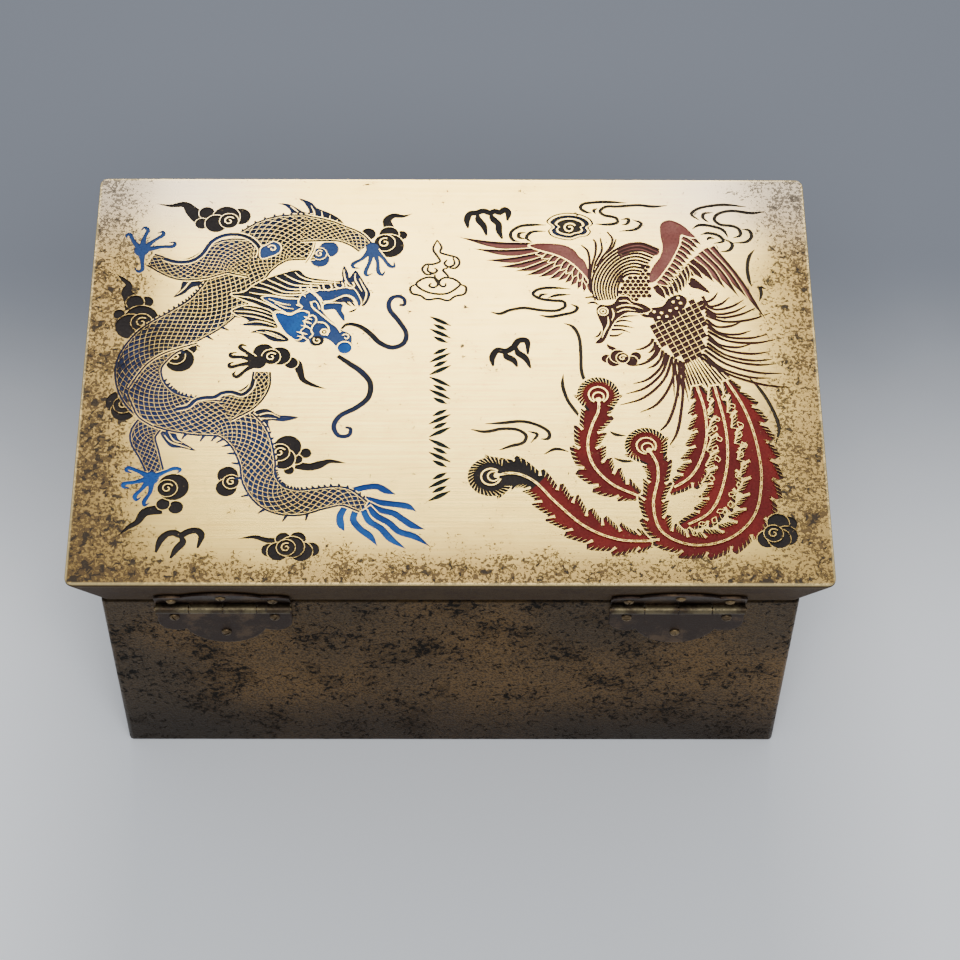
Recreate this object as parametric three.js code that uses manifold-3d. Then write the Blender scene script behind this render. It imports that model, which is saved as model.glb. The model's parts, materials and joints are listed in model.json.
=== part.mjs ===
// A brass jewelry box: an open box body, a lid whose sides flare out up to a flat top engraved with a
// dragon and a phoenix, and two scalloped hinges on the back, each held by six round-head screws.
// Millimetres, +Z up. The origin is the middle of the box's underside, and the hinges face -Y.

import * as THREE from 'three';
import { mergeVertices } from 'three/addons/utils/BufferGeometryUtils.js';
import Module from 'manifold-3d';

const wasm = await Module();
wasm.setup();

// Box body and lid.
const LID_WIDTH = 200;
const LID_DEPTH = 135;
const FLARE = 7; // how far the lid's top edge stands out past the body, on each side
const BODY_HEIGHT = 79.4;
const JOINT_GAP = 0.3;
const LID_HEIGHT = 19.3;
const LID_LIP = 1.2; // upright edge of the lid's top plate
const SHEET = 2; // thickness of the brass sheet
const LID_CORNER = 2.2;
const BODY_CORNER = 1.2;
const CORNER_STEPS = 2;

// Hinges.
const HINGE_SPREAD = 121; // between the middles of the two hinges
const LEAF_WIDTH = 36;
const LEAF_SHEET = 0.8;
const LEAF_GAP = 0.2;
const LOWER_LEAF_START = 0.6; // the lower plate's top edge, below the joint line
const LOWER_LEAF_DROP = 20.6; // from the joint line to the tip of the lower leaf
const UPPER_LEAF_RISE = 12;
const LOBE_RADIUS = 4.8; // the rounded corners of the lower leaf
const LOBE_CENTRE_DROP = 9.3;
const CUSP_ANGLE = Math.PI * 0.68; // on a corner lobe, from its outer side to where it meets the tip
const LEAF_ARC_STEPS = 3;
const PIN_OUT = 2.2; // the pin's middle, out from the body's back face
const PIN_DROP = 0.8; // and below the joint line
const KNUCKLE_RADIUS = 1.35;
const KNUCKLE_BORE = 0.9;
const KNUCKLE_COUNT = 4;
const KNUCKLE_GAP = 0.35;
const KNUCKLE_SIDES = 8;
const PIN_RADIUS = 0.6;
const PIN_OVERHANG = 0.3;

// Screws: two beside the pin and one at the tip of each leaf.
const SIDE_SCREW_OFFSET = 13.4;
const SIDE_SCREW_SHARE = 0.34; // of the leaf's length, from the joint line
const TIP_SCREW_SHARE = 0.72;
const SCREW_HEAD_RADIUS = 1.4;
const SCREW_HEAD_HEIGHT = 0.8;
const SCREW_SHOULDER_RADIUS = 1.12; // where the head's side turns into its top
const SCREW_SHOULDER_HEIGHT = 0.52;
const SCREW_SHANK_RADIUS = 0.6;
const SCREW_HOLE_RADIUS = 0.95;
const SCREW_LENGTH = 2;
const SCREW_SIDES = 6;
const SCREW_SEAT_GAP = 0.1;

// Engraving on the lid's top. Figures are drawn in millimetres from its middle. A drawn line is a
// list of places on it, each with half of the line's width there.
const ENGRAVING_DEPTH = 0.5;
const STANDING_LINE = 0.45; // metal left standing between two pockets
const RING_SIDES = 6;

// The dragon: a scaled body and legs, claws, head, mane, whiskers and a streaming tail.
const DRAGON_BODY = [
  [-41, 46.5, 7.6], [-49, 45.6, 7.6], [-56.4, 39.4, 7.4], [-60.6, 30, 6.8], [-67, 20.5, 6.3], [-74, 15, 6],
  [-81, 9.5, 6], [-85, 2, 5.8], [-83.5, -6, 5.8], [-78, -12, 5.6], [-69, -14.8, 5.4], [-60, -16, 5.2],
  [-54.5, -21, 5], [-52, -29, 4.6], [-50.5, -35, 4.3], [-47, -40.5, 4], [-41, -42.3, 3.6],
  [-34, -40.9, 2.9], [-28.5, -40.3, 2.4], [-23, -43.5, 1.4],
];
const DRAGON_LEGS = [
  [[-56, 39, 6], [-63, 39.5, 5.4], [-70, 35.8, 3.8], [-76, 34.8, 2.8], [-84, 38.3, 1.7]],
  [[-42, 49, 5], [-34, 49.6, 4], [-29, 47.6, 3], [-24.5, 44, 1.7]],
  [[-61, -12, 4], [-55, -9, 3], [-51.8, -4.5, 2.2], [-51.5, 0, 1.8]],
  [[-80, -16, 3], [-82.5, -21, 3], [-80.5, -27, 2.3], [-78.3, -33, 1.7]],
];
const BODY_SCALE_ROW = 8.6;
const LEG_SCALE_ROW = 7;
const SCALE_BOW = 0.3; // how far a row of scales bows forwards, of its length
const DRAGON_CLAWS = [
  { palm: [-86.6, 42], hook: 1, tips: [[-91, 46.5], [-86, 49.6], [-81, 47.6], [-77.6, 43.2], [-87, 35]] },
  { palm: [-22.2, 42.5], hook: 1, tips: [[-27.6, 37], [-24, 33.8], [-20, 33.6], [-17.2, 36.6]] },
  { palm: [-53.2, 3], hook: -1, tips: [[-58, 8], [-60.4, 4.8], [-60.4, 1.8], [-58.4, -1.6]] },
  { palm: [-79, -34.8], hook: 1, tips: [[-85.8, -32], [-86.8, -36.4], [-83, -40.6], [-73.4, -32.6]] },
];
const PALM_RADIUS = 2;
const FINGER_HALVES = [1.1, 0.7, 0]; // half of a finger's width, at the palm, the bend and the tip
const FINGER_HOOK = 1.8;
const HOOK_ANGLE = 2;
const DRAGON_HEAD = [
  [[-49, 19.4], [-44, 19.4], [-39.6, 20.2], [-38.4, 16.5], [-42.4, 10.4], [-46.4, 13.4]],
  [[-41, 26.4], [-37, 28.4], [-30, 28.6], [-25.6, 26.6], [-24.4, 22.6], [-29, 25], [-35.5, 23.4],
    [-38.6, 21.2]],
  [[-37.4, 20], [-33.6, 18.8], [-30.8, 14.6], [-27.6, 12], [-27, 7.4], [-30, 6.4], [-33, 10.4],
    [-36.6, 13.6]],
];
const HEAD_STEPS = 8;
const DRAGON_MANE = [
  [[-40, 29.5, 1], [-48, 30, 1.4], [-57, 32.5, 0]],
  [[-42, 27, 1], [-50, 26.6, 1.3], [-59, 29.5, 0]],
  [[-43, 24, 1], [-50, 23.6, 1.3], [-58, 25.6, 0]],
  [[-44, 21.6, 0.8], [-51, 20.6, 1.3], [-59, 22, 0]],
  [[-48.5, 17, 1], [-53, 16.6, 1.2], [-58.5, 17.6, 0]],
  [[-45, 12, 0.8], [-49.5, 11.8, 1.2], [-55, 13.4, 0]],
  [[-38, 30.6, 0.9], [-33, 31, 1.2], [-30, 36.4, 0]],
  [[-32, 30.2, 0.9], [-28, 31, 1.2], [-26.8, 34.4, 0]],
  [[-27, 29.4, 1], [-23.4, 28, 1.3], [-24.6, 22.6, 0]],
  [[-34.6, 21.6, 1], [-31, 21.4, 1.2], [-29.6, 17.4, 0]],
];
const DRAGON_WHISKERS = [
  [[-30, 14.8, 0.5], [-26.6, 16, 0.9], [-21, 10.6, 0.9], [-16, 8.2, 0.8], [-12.6, 13, 0.8],
    [-16.6, 20.6, 0.8], [-16.6, 24.8, 0.7], [-13.4, 25, 0.6], [-14, 22.8, 0]],
  [[-31, 5, 0.6], [-25, 0.5, 0.8], [-21.6, -7.4, 0.8], [-28, -13.4, 0.8], [-31.4, -18, 0.7],
    [-28.6, -21.4, 0.6], [-26.8, -19.6, 0.5], [-28.4, -18.4, 0]],
];
const DRAGON_TAIL = [
  [[-25, -38.6, 0.6], [-20, -37.4, 1.1], [-14.5, -39.6, 0]],
  [[-23.5, -40.4, 0.8], [-17, -42.8, 1.2], [-9, -45, 0]],
  [[-21.6, -42.6, 0.8], [-14.5, -46.4, 1.3], [-6.7, -50.4, 0]],
  [[-21, -44, 0.8], [-13.6, -51.2, 1.4], [-5.4, -55.8, 0]],
  [[-22, -45.2, 0.8], [-16.6, -52.2, 1.3], [-11.6, -56.4, 0]],
  [[-25, -45.4, 0.6], [-23.6, -51, 1], [-19.2, -55.6, 0]],
  [[-28.6, -44, 0.6], [-29.6, -47.4, 0.8], [-28, -51, 0]],
];

// Swirled clouds: the middle and radius of the round core, the way its crescent leans, and a tail.
const CLOUDS = [
  {
    at: [-63, 51.5], core: 4, lean: 1.7,
    tail: [[-68, 55, 2], [-74, 58.4, 1.6], [-79.5, 57.6, 0.6], [-83.6, 58.3, 0]],
  },
  {
    at: [-18, 45], core: 3.4, lean: -0.9,
    tail: [[-15, 48, 2.4], [-18.4, 52.4, 1.6], [-15.6, 54.4, 0.9], [-11, 55, 0]],
  },
  { at: [-36.6, 41], core: 3, lean: 0.3 },
  {
    at: [-85.4, 16.6], core: 4, lean: 2.4,
    tail: [[-87, 22.6, 2.6], [-89.6, 26.6, 1.6], [-89.4, 29.6, 1], [-92.6, 33, 0]],
  },
  { at: [-74.6, 5], core: 3.4, lean: -0.6 },
  { at: [-88.6, -10.6], core: 3.2, lean: -2.9 },
  {
    at: [-49, 4.8], core: 3.8, lean: 1.9,
    tail: [[-45, 3, 2.2], [-41, 1.6, 1.6], [-39, -3, 0.9], [-34, -5.4, 0]],
  },
  {
    at: [-45, -26], core: 3.4, lean: 0.5,
    tail: [[-42, -30.8, 1.8], [-36, -31.6, 1.1], [-32, -29.4, 0.7], [-27.8, -29.7, 0]],
  },
  { at: [-58.6, -36], core: 3, lean: 3 },
  {
    at: [-75, -38], core: 3.4, lean: -0.1,
    tail: [[-74, -43.6, 2], [-80.4, -45.4, 1.3], [-82.6, -49.6, 0.7], [-87, -52.4, 0]],
  },
  {
    at: [-41.6, -56.2], core: 3, lean: -1.2,
    tail: [[-43, -52.6, 1.4], [-48, -54, 0.9], [-52, -53, 0.6], [-55.6, -53.4, 0]],
  },
  { at: [33, 50.4], core: 3.6, lean: 1.6 },
  { at: [82.4, -52], core: 2.6, lean: 0.6 },
  {
    at: [45.4, 4.4], core: 2.4, lean: 0.3,
    tail: [[42.4, 4.6, 1.6], [43.6, 8, 0.8], [42.4, 9.8, 0]],
  },
];
const CRESCENT_OFFSET = 0.6; // of the core's radius
const CRESCENT_GROWTH = 1.25;
const SWIRL_STEPS = 4;
const SWIRL_TURN = 1.6; // from one place on the swirl to the next

// Small flame marks, wind-blown lines and the tall cloud above the column of strokes.
const FLAME_MARKS = [
  [[-76.5, -57.6, 0], [-74.8, -52.4, 0.9], [-71, -53.2, 0.9], [-72.6, -59.4, 0]],
  [[-70.6, -53, 0.5], [-66.6, -51.2, 0.8], [-66, -56.3, 0]],
  [[4.6, 49.8, 0], [4.6, 54.4, 0.8], [10, 55.6, 0.8], [14.6, 56, 0.8], [15.6, 52.6, 0]],
  [[7.5, 54, 0.7], [8.4, 51.2, 0.7], [9.8, 47.2, 0]],
  [[11.4, 54.6, 0.8], [13.2, 51, 0.7], [14, 46.6, 0]],
  [[11.4, 2, 0], [12, 7, 0.7], [17, 8.4, 0.8], [20.4, 10.6, 0.8], [21, 6, 0]],
  [[15.4, 7.4, 0.6], [16.4, 5, 0.6], [18, 1.8, 0]],
];
const WIND_LINES = [
  [[11, 20.4, 0], [16, 21.2, 0.4], [24, 21.2, 0.5], [31, 21.8, 0.5], [30, 24.4, 0.5], [25.6, 25, 0]],
  [[33, 28.4, 0], [27, 28.6, 0.4], [22.6, 26.6, 0.5], [25, 24.6, 0]],
  [[24.6, 19.2, 0], [30, 19.2, 0.4], [34.6, 21.4, 0.4], [33, 23.2, 0]],
  [[26, 51, 0], [20, 50.4, 0.4], [16.6, 47.4, 0.5], [20.2, 44.6, 0]],
  [[41, 51.2, 0], [47, 52, 0.5], [43, 54.6, 0.5], [44, 57.6, 0.5], [52, 57.8, 0.4], [61, 58, 0]],
  [[40, 55.6, 0], [36.4, 57, 0.5], [41, 59, 0.5], [49, 58.8, 0]],
  [[41, 48.6, 0], [48, 49, 0.4], [53.4, 51, 0.5], [51, 52.8, 0]],
  [[70, 52.8, 0], [67.8, 55, 0.5], [72, 58, 0.5], [83.4, 57.6, 0]],
  [[75, 41.8, 0], [78.6, 44, 0.5], [83.8, 47, 0.5], [80, 50, 0.5], [74, 53.6, 0.5], [78, 56, 0.5],
    [88.6, 56, 0]],
  [[69, 49.8, 0], [75, 50, 0.5], [77.4, 46.4, 0.5], [72, 45.6, 0.5], [72.6, 47.6, 0]],
  [[5.4, -19, 0], [14, -18.6, 0.5], [20.2, -20.4, 0.5], [18.6, -23.6, 0.4], [13.2, -25.4, 0]],
  [[9.4, -17.2, 0], [19, -16.6, 0.5], [26, -19.2, 0.6], [24, -22, 0]],
  [[31.4, 16.6, 0], [35, 12, 0.4], [35.4, 2, 0.5], [38, -2.4, 0]],
];
const TALL_CLOUD = [
  [[-4, 45.6, 0], [-5, 41.6, 0.35], [-3.4, 38, 0.35], [-7.6, 36.8, 0.35], [-7.6, 33.8, 0.35],
    [-4.8, 35.4, 0]],
  [[-4, 44.6, 0], [-2.8, 41.4, 0.35], [1.2, 39.6, 0.35], [1.4, 36, 0.35], [-1.6, 37.6, 0]],
  [[-5, 30, 0], [-7, 32, 0.35], [-10.2, 29.6, 0.35], [-3.6, 26.6, 0.35], [2.6, 29.6, 0.35], [-0.6, 32, 0.35],
    [-2.4, 30, 0]],
  [[-11, 29, 0], [-10, 26.4, 0.35], [-3.6, 24.4, 0.35], [3, 26.4, 0.35], [4, 29, 0]],
];
const STROKE_GROUPS = 6;
const STROKES_IN_GROUP = 3;
const STROKE_COLUMN = [-3, 14.6]; // the middle of the topmost group
const STROKE_GROUP_PITCH = 10.2;
const STROKE_PITCH = 2.6;
const STROKE_REACH = 3.2;
const STROKE_LEAN = 0.6;
const STROKE_HALF = 0.55;
const SHORT_STROKE = 0.7; // every second stroke, of a whole one's reach

// The phoenix. Feathers and wisps run from a line of roots to a line of tips.
const LEFT_WING = {
  count: 8,
  roots: [[24, 43], [29, 39.6], [38, 33.4]],
  tips: [[2, 46.8], [18, 34.4], [38.6, 27]],
};
const RIGHT_WING = {
  count: 7,
  roots: [[72.4, 43], [68, 40], [63.6, 35]],
  tips: [[86.6, 18], [76, 28.6], [67.4, 32.6]],
};
const RIGHT_COVERTS = {
  count: 4,
  roots: [[65, 47.4], [62.6, 41.4], [60, 35.6]],
  tips: [[70, 42.6], [66.4, 38.4], [62.8, 34.4]],
};
const BACK_FEATHERS = {
  count: 4,
  roots: [[56.4, 30.2], [59.4, 31.8], [62, 33.2]],
  tips: [[60, 24.6], [64, 27.4], [68, 29.6]],
};
const WING_ARMS = [
  [[24, 44, 0.8], [30, 42.6, 1.6], [35, 39.4, 1.8], [38, 34.4, 0.8]],
  [[56.6, 31.6, 1.4], [58.6, 37, 2.6], [61.4, 44, 2.4], [62, 50.4, 2.8], [66, 48.6, 1.8], [68.4, 46.6, 0]],
];
const NECK = {
  count: 5,
  roots: [[41.4, 24], [43.4, 23.4], [45.4, 23]],
  middles: [[43, 37.6], [45, 33.6], [46.6, 29.4]],
  tips: [[57.4, 42.6], [55.6, 37.6], [53, 31.6]],
};
const CREST = {
  count: 3,
  roots: [[41.6, 25], [43.4, 38]],
  middles: [[39.4, 36], [43, 42]],
  tips: [[36.6, 43.8], [46, 48.8]],
};
const FLANK_WISPS = {
  count: 7,
  roots: [[69.6, 24.4], [71, 17], [70.4, 8], [72, 0]],
  middles: [[74, 23.4], [78, 15.4], [79, 7], [83, -2]],
  tips: [[78, 26], [87.6, 18.6], [89, 7], [92, -5]],
};
const BELLY_WISPS = {
  count: 5,
  roots: [[56, 11], [60, 5], [64, 1]],
  middles: [[54, 8], [57.6, -3], [61.4, -11]],
  tips: [[50.4, 7.6], [48, -5.4], [54, -18.6]],
};
const PHOENIX_HEAD = [
  [40.2, 19.6], [42, 22.6], [45, 21.6], [46, 17.6], [43.4, 14.6], [40.4, 10], [41, 15.6],
];
const PHOENIX_EYE = [42.2, 19.8];
const PHOENIX_EYE_RADIUS = 0.9;
const BREAST = { middle: [62.4, 13.8], wide: 8, tall: 11.2, lean: 0.6, pitch: 4.6, reach: 3, scale: 2.07 };
const TAIL_PLUMES = [
  [[39.8, -1.4, 1.6], [39.8, -5, 4], [39.6, -10, 4], [38.4, -15, 2.8], [36.8, -22, 3], [37.6, -29.6, 3.6],
    [42.4, -36, 3.4], [48.6, -39.4, 1.6]],
  [[52, -19, 1.6], [52.2, -23, 4.2], [53.6, -28, 3.6], [54.8, -34, 2.4], [53.4, -43, 2.4],
    [55.4, -51.6, 2.6], [63, -55.4, 2.8], [72.6, -53.4, 3], [79.6, -46.6, 3.4], [82.4, -35, 3.6],
    [81.6, -22, 3.2], [79, -11.6, 2.4], [75, -3, 1]],
  [[6, -34, 2.6], [10.6, -34, 4.8], [16, -33.6, 4], [21.6, -35, 3], [28, -42, 3.6], [35.6, -49.4, 3.6],
    [44, -53.4, 3], [52.4, -53.9, 1.2]],
  [[57.4, -38, 1.2], [64, -33, 2.8], [68.4, -23, 2.8], [68.4, -12.6, 2.2], [66.6, -5, 1]],
  [[60.6, -49.4, 1.2], [68.6, -44.4, 2.8], [73.2, -32, 3], [73.8, -19, 2.6], [71.4, -5, 1]],
];
const EYED_PLUMES = 3; // the first plumes end in an eye
const PLUME_EYE = 2.4;
const PLUME_NOTCH = 0.3; // how deep the plume's sawn edge goes, of its half width
const LINE_HALVES = [0, 0.5, 0]; // half of a wisp's width, from its root to its tip
const BLADE_HALVES = [0.7, 1.1, 0];

// Sizes that follow from those above.
const BODY_WIDTH = LID_WIDTH - 2 * FLARE;
const BODY_DEPTH = LID_DEPTH - 2 * FLARE;
const LID_BASE = BODY_HEIGHT + JOINT_GAP;
const BOX_HEIGHT = LID_BASE + LID_HEIGHT;
const BACK_Y = -BODY_DEPTH / 2;
const SLOPE_HEIGHT = LID_HEIGHT - LID_LIP;
const SLOPE_ANGLE = Math.atan2(FLARE, SLOPE_HEIGHT); // the lid side's lean from the upright
const OVERCUT = 1; // how far a cutter runs past the face that it cuts

const metal = (color, roughness) => new THREE.MeshStandardMaterial({ color, roughness, metalness: 1 });
const polishedBrass = metal(0xc9a862, 0.35);
const agedBrass = metal(0x6f5a3a, 0.5);
const darkBronze = metal(0x4a3f36, 0.5);
const screwBrass = metal(0x8c7a58, 0.4);

// A closed three.js geometry as a solid that can be joined and cut.
function solid(geometry) {
  const bare = geometry.clone();
  for (const name of ['normal', 'uv']) bare.deleteAttribute(name);
  const merged = mergeVertices(bare, 1e-5);
  return new wasm.Manifold(new wasm.Mesh({
    numProp: 3,
    vertProperties: new Float32Array(merged.attributes.position.array),
    triVerts: new Uint32Array(merged.index.array),
  }));
}

function geometryOf(manifold) {
  const { vertProperties, triVerts } = manifold.getMesh();
  const geometry = new THREE.BufferGeometry();
  geometry.setAttribute('position', new THREE.BufferAttribute(new Float32Array(vertProperties), 3));
  geometry.setIndex(new THREE.BufferAttribute(new Uint32Array(triVerts), 1));
  geometry.computeVertexNormals();
  return geometry;
}

const joined = (solids) => solids.reduce((all, one) => all.add(one));
const cut = (base, cutters) => cutters.reduce((left, one) => left.subtract(one), base);

function named(name, geometry, material) {
  const mesh = new THREE.Mesh(geometry, material);
  mesh.name = name;
  return mesh;
}

// An outline with no place held twice in a row, also where it closes.
function withoutRepeats(points) {
  return points.filter((point, i) => point.distanceTo(points.at(i - 1)) > 1e-3);
}

// Engraving

const turned = ([x, y], angle) => new THREE.Vector2(x, y).rotateAround(new THREE.Vector2(), angle);
const counted = (count, make) => Array.from({ length: count }, (_, i) => make(i));

// A step of the drawing: an outline that is sunk into the plate, or metal that stands again.
const sunk = (outline) => ({ outline, depth: ENGRAVING_DEPTH });
const standing = (outline) => ({ outline, depth: 0 });

function curveThrough(points, closed = false) {
  return new THREE.CatmullRomCurve3(points.map(([x, y, half = 0]) => new THREE.Vector3(x, y, half)), closed);
}

// The place beside a point of a drawn line. Side 1 and -1 are the line's two edges.
function beside(point, tangent, side, extra = 0) {
  const along = tangent.setZ(0).normalize();
  const out = side * (point.z + extra);
  return new THREE.Vector2(point.x + along.y * out, point.y - along.x * out);
}

// The outline of a drawn line, widened by `extra`, with `detail` straight pieces from each of its
// places to the next, and notched at every second of them.
function stroke(points, { extra = 0, detail = 1, notch = 0 } = {}) {
  const line = curveThrough(points);
  const steps = (points.length - 1) * detail;
  const edge = (side) => counted(steps + 1, (i) => {
    const share = i / steps;
    return beside(line.getPoint(share), line.getTangent(share), side * (1 - notch * (i % 2)), extra);
  });
  return withoutRepeats([...edge(1), ...edge(-1).reverse()]);
}

function blob(points) {
  const outline = curveThrough(points, true).getSpacedPoints(HEAD_STEPS).slice(1);
  return outline.map(({ x, y }) => new THREE.Vector2(x, y));
}

function ring([x, y], radius, sides = RING_SIDES) {
  return counted(sides, (i) => turned([radius, 0], 2 * Math.PI * i / sides).add({ x, y }));
}

// The outline of a drawn line with a rim of standing metal round it, past both of its ends too.
function rim(points) {
  const past = ([x, y, half], [fromX, fromY]) => {
    const step = new THREE.Vector2(x - fromX, y - fromY).setLength(STANDING_LINE);
    return [x + step.x, y + step.y, half];
  };
  const longer = [past(points[0], points[1]), ...points.slice(1, -1), past(points.at(-1), points.at(-2))];
  return standing(stroke(longer, { extra: STANDING_LINE }));
}

// A line that covers what lies behind it, under rows of scales that bow forwards.
function scaled(points, pitch) {
  const line = curveThrough(points);
  const rows = Math.round(line.getLength() / pitch);
  const bow = SCALE_BOW / rows;
  const gap = STANDING_LINE / line.getLength();
  const at = (share, side) => beside(line.getPointAt(share), line.getTangentAt(share), side);
  const row = (i) => {
    const from = (1 - bow) * i / rows;
    const to = (1 - bow) * (i + 1) / rows - gap;
    return [at(from, 1), at(to, 1), at(to + bow, 0), at(to, -1), at(from, -1), at(from + bow, 0)];
  };
  return [rim(points), ...counted(rows, row).map(sunk)];
}

// Drawn lines from places on a line of roots to places on a line of tips, straight or by middles.
function fan({ count, roots, tips, middles }, halves) {
  const [root, tip] = [roots, tips].map((points) => curveThrough(points));
  const middle = middles && curveThrough(middles);
  return counted(count, (i) => {
    const share = i / (count - 1);
    const ends = [root.getPoint(share), tip.getPoint(share)];
    const between = middle ? middle.getPoint(share) : ends[0].clone().lerp(ends[1], 0.5);
    return [ends[0], between, ends[1]].map(({ x, y }, k) => [x, y, halves[k]]);
  });
}

const drawn = (lines, options) => lines.map((points) => sunk(stroke(points, options)));

// Lines that lie over one another, each in its rim.
const layered = (lines) => lines.flatMap((points) => [rim(points), sunk(stroke(points))]);

function claw({ palm, hook, tips }) {
  const fingers = tips.map((tip) => {
    const reach = new THREE.Vector2(tip[0] - palm[0], tip[1] - palm[1]);
    const bent = turned(reach.clone().setLength(FINGER_HOOK).toArray(), hook * HOOK_ANGLE);
    const root = reach.clone().setLength(PALM_RADIUS / 2);
    const places = [[palm[0] + root.x, palm[1] + root.y], tip, [tip[0] + bent.x, tip[1] + bent.y]];
    return places.map(([x, y], i) => [x, y, FINGER_HALVES[i]]);
  });
  return [sunk(ring(palm, PALM_RADIUS)), ...drawn(fingers)];
}

// A crescent and a tail behind a round core, and a swirl of standing metal in the core.
function cloud({ at, core, lean, tail }) {
  const behind = turned([core * CRESCENT_OFFSET, 0], lean).add({ x: at[0], y: at[1] }).toArray();
  const swirl = counted(SWIRL_STEPS, (i) => {
    const { x, y } = turned([core * (1 - i / SWIRL_STEPS), 0], lean + Math.PI + i * SWIRL_TURN);
    return [at[0] + x, at[1] + y, STANDING_LINE / 2];
  });
  return [
    sunk(ring(behind, core * CRESCENT_GROWTH)), ...drawn(tail ? [tail] : []),
    standing(ring(at, core + STANDING_LINE)), sunk(ring(at, core)), standing(stroke(swirl)),
  ];
}

// A tail feather with a notched edge and a standing middle line, and an eye near its end.
function plume(points, eyed) {
  const quill = points.slice(eyed ? 2 : 1).map(([x, y]) => [x, y, STANDING_LINE]);
  const eye = [standing(ring(points[1], PLUME_EYE)), sunk(ring(points[1], PLUME_EYE - STANDING_LINE))];
  return [
    rim(points),
    sunk(stroke(points, { detail: eyed ? 2 : 1, notch: PLUME_NOTCH })),
    standing(stroke(quill)), ...(eyed ? eye : []),
  ];
}

// A net of slanting scales within an oval.
function breastNet({ middle, wide, tall, lean, pitch, reach, scale }) {
  const scales = [];
  for (let row = -reach; row <= reach; row += 1) {
    for (let column = -reach; column <= reach; column += 1) {
      const { x, y } = turned([(column + (row % 2) / 2) * pitch, row * pitch], lean);
      const inside = Math.hypot(x / wide, y / tall) < 1;
      if (inside) scales.push(sunk(ring([middle[0] + x, middle[1] + y], scale, 4)));
    }
  }
  return scales;
}

// A column of groups of short slanting strokes, leaning to either side by turns.
function strokeColumn() {
  const [x, top] = STROKE_COLUMN;
  const strokes = counted(STROKE_GROUPS * STROKES_IN_GROUP, (i) => {
    const group = Math.floor(i / STROKES_IN_GROUP);
    const place = i % STROKES_IN_GROUP - (STROKES_IN_GROUP - 1) / 2;
    const y = top - group * STROKE_GROUP_PITCH - place * STROKE_PITCH;
    const length = STROKE_REACH * (i % 2 ? SHORT_STROKE : 1);
    const reach = turned([length, 0], group % 2 ? STROKE_LEAN : -STROKE_LEAN);
    return [[x - reach.x, y - reach.y, 0], [x, y, STROKE_HALF], [x + reach.x, y + reach.y, 0]];
  });
  return drawn(strokes);
}

// The whole drawing, from what lies behind to what lies in front.
function lidDrawing() {
  return [
    ...drawn([...FLAME_MARKS, ...WIND_LINES, ...TALL_CLOUD]),
    ...strokeColumn(),
    ...CLOUDS.flatMap(cloud),
    ...scaled(DRAGON_BODY, BODY_SCALE_ROW),
    ...DRAGON_LEGS.flatMap((leg) => scaled(leg, LEG_SCALE_ROW)),
    ...DRAGON_CLAWS.flatMap(claw),
    ...drawn([...DRAGON_TAIL, ...DRAGON_WHISKERS]),
    ...layered(DRAGON_MANE),
    ...DRAGON_HEAD.map((outline) => sunk(blob(outline))),
    ...drawn(fan(FLANK_WISPS, LINE_HALVES)),
    ...drawn(fan(BELLY_WISPS, LINE_HALVES)),
    ...TAIL_PLUMES.flatMap((points, i) => plume(points, i < EYED_PLUMES)),
    ...drawn(fan(BACK_FEATHERS, BLADE_HALVES)),
    ...layered(fan(RIGHT_WING, BLADE_HALVES)),
    ...layered(fan(RIGHT_COVERTS, BLADE_HALVES)),
    ...drawn(fan(LEFT_WING, BLADE_HALVES)),
    ...drawn(WING_ARMS),
    ...breastNet(BREAST),
    ...drawn(fan(NECK, LINE_HALVES)),
    ...drawn(fan(CREST, LINE_HALVES)),
    sunk(blob(PHOENIX_HEAD)),
    standing(ring(PHOENIX_EYE, PHOENIX_EYE_RADIUS)),
  ];
}

// The pockets as one cutter. Standing metal is taken out of it from below its floor to above its top.
function engraving() {
  const block = ({ outline, depth }) => {
    const foot = depth ? -depth : -ENGRAVING_DEPTH - OVERCUT;
    const geometry = new THREE.ExtrudeGeometry(new THREE.Shape(outline), {
      depth: (depth ? OVERCUT : 2 * OVERCUT) - foot, steps: 1, bevelEnabled: false,
    });
    return solid(geometry.translate(0, 0, BOX_HEIGHT + foot));
  };
  const [first, ...rest] = lidDrawing();
  const place = (pockets, step) => (step.depth ? pockets.add(block(step)) : pockets.subtract(block(step)));
  return rest.reduce(place, block(first));
}

// Box body and lid

function roundedRectangle(width, depth, radius) {
  const x = width / 2 - radius;
  const y = depth / 2 - radius;
  const shape = new THREE.Shape();
  shape.absarc(x, y, radius, 0, Math.PI / 2);
  shape.absarc(-x, y, radius, Math.PI / 2, Math.PI);
  shape.absarc(-x, -y, radius, Math.PI, Math.PI * 1.5);
  shape.absarc(x, -y, radius, Math.PI * 1.5, Math.PI * 2);
  return shape;
}

// A block on a rounded rectangle that grows by `flare` on every side from its foot to its top.
function flaredBlock(width, depth, corner, foot, top, flare = 0) {
  const geometry = new THREE.ExtrudeGeometry(roundedRectangle(width, depth, corner), {
    depth: top - foot, steps: 1, bevelEnabled: false, curveSegments: CORNER_STEPS,
  });
  const place = geometry.attributes.position;
  for (let i = 0; i < place.count; i += 1) {
    const grown = flare * place.getZ(i) / (top - foot);
    place.setX(i, place.getX(i) + Math.sign(place.getX(i)) * grown);
    place.setY(i, place.getY(i) + Math.sign(place.getY(i)) * grown);
  }
  return solid(geometry.translate(0, 0, foot));
}

function boxBody(screwHoles) {
  const outside = flaredBlock(BODY_WIDTH, BODY_DEPTH, BODY_CORNER, 0, BODY_HEIGHT);
  const inside = flaredBlock(
    BODY_WIDTH - 2 * SHEET, BODY_DEPTH - 2 * SHEET, BODY_CORNER / 2, SHEET, BODY_HEIGHT + OVERCUT);
  return geometryOf(cut(outside, [inside, ...screwHoles]));
}

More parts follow.
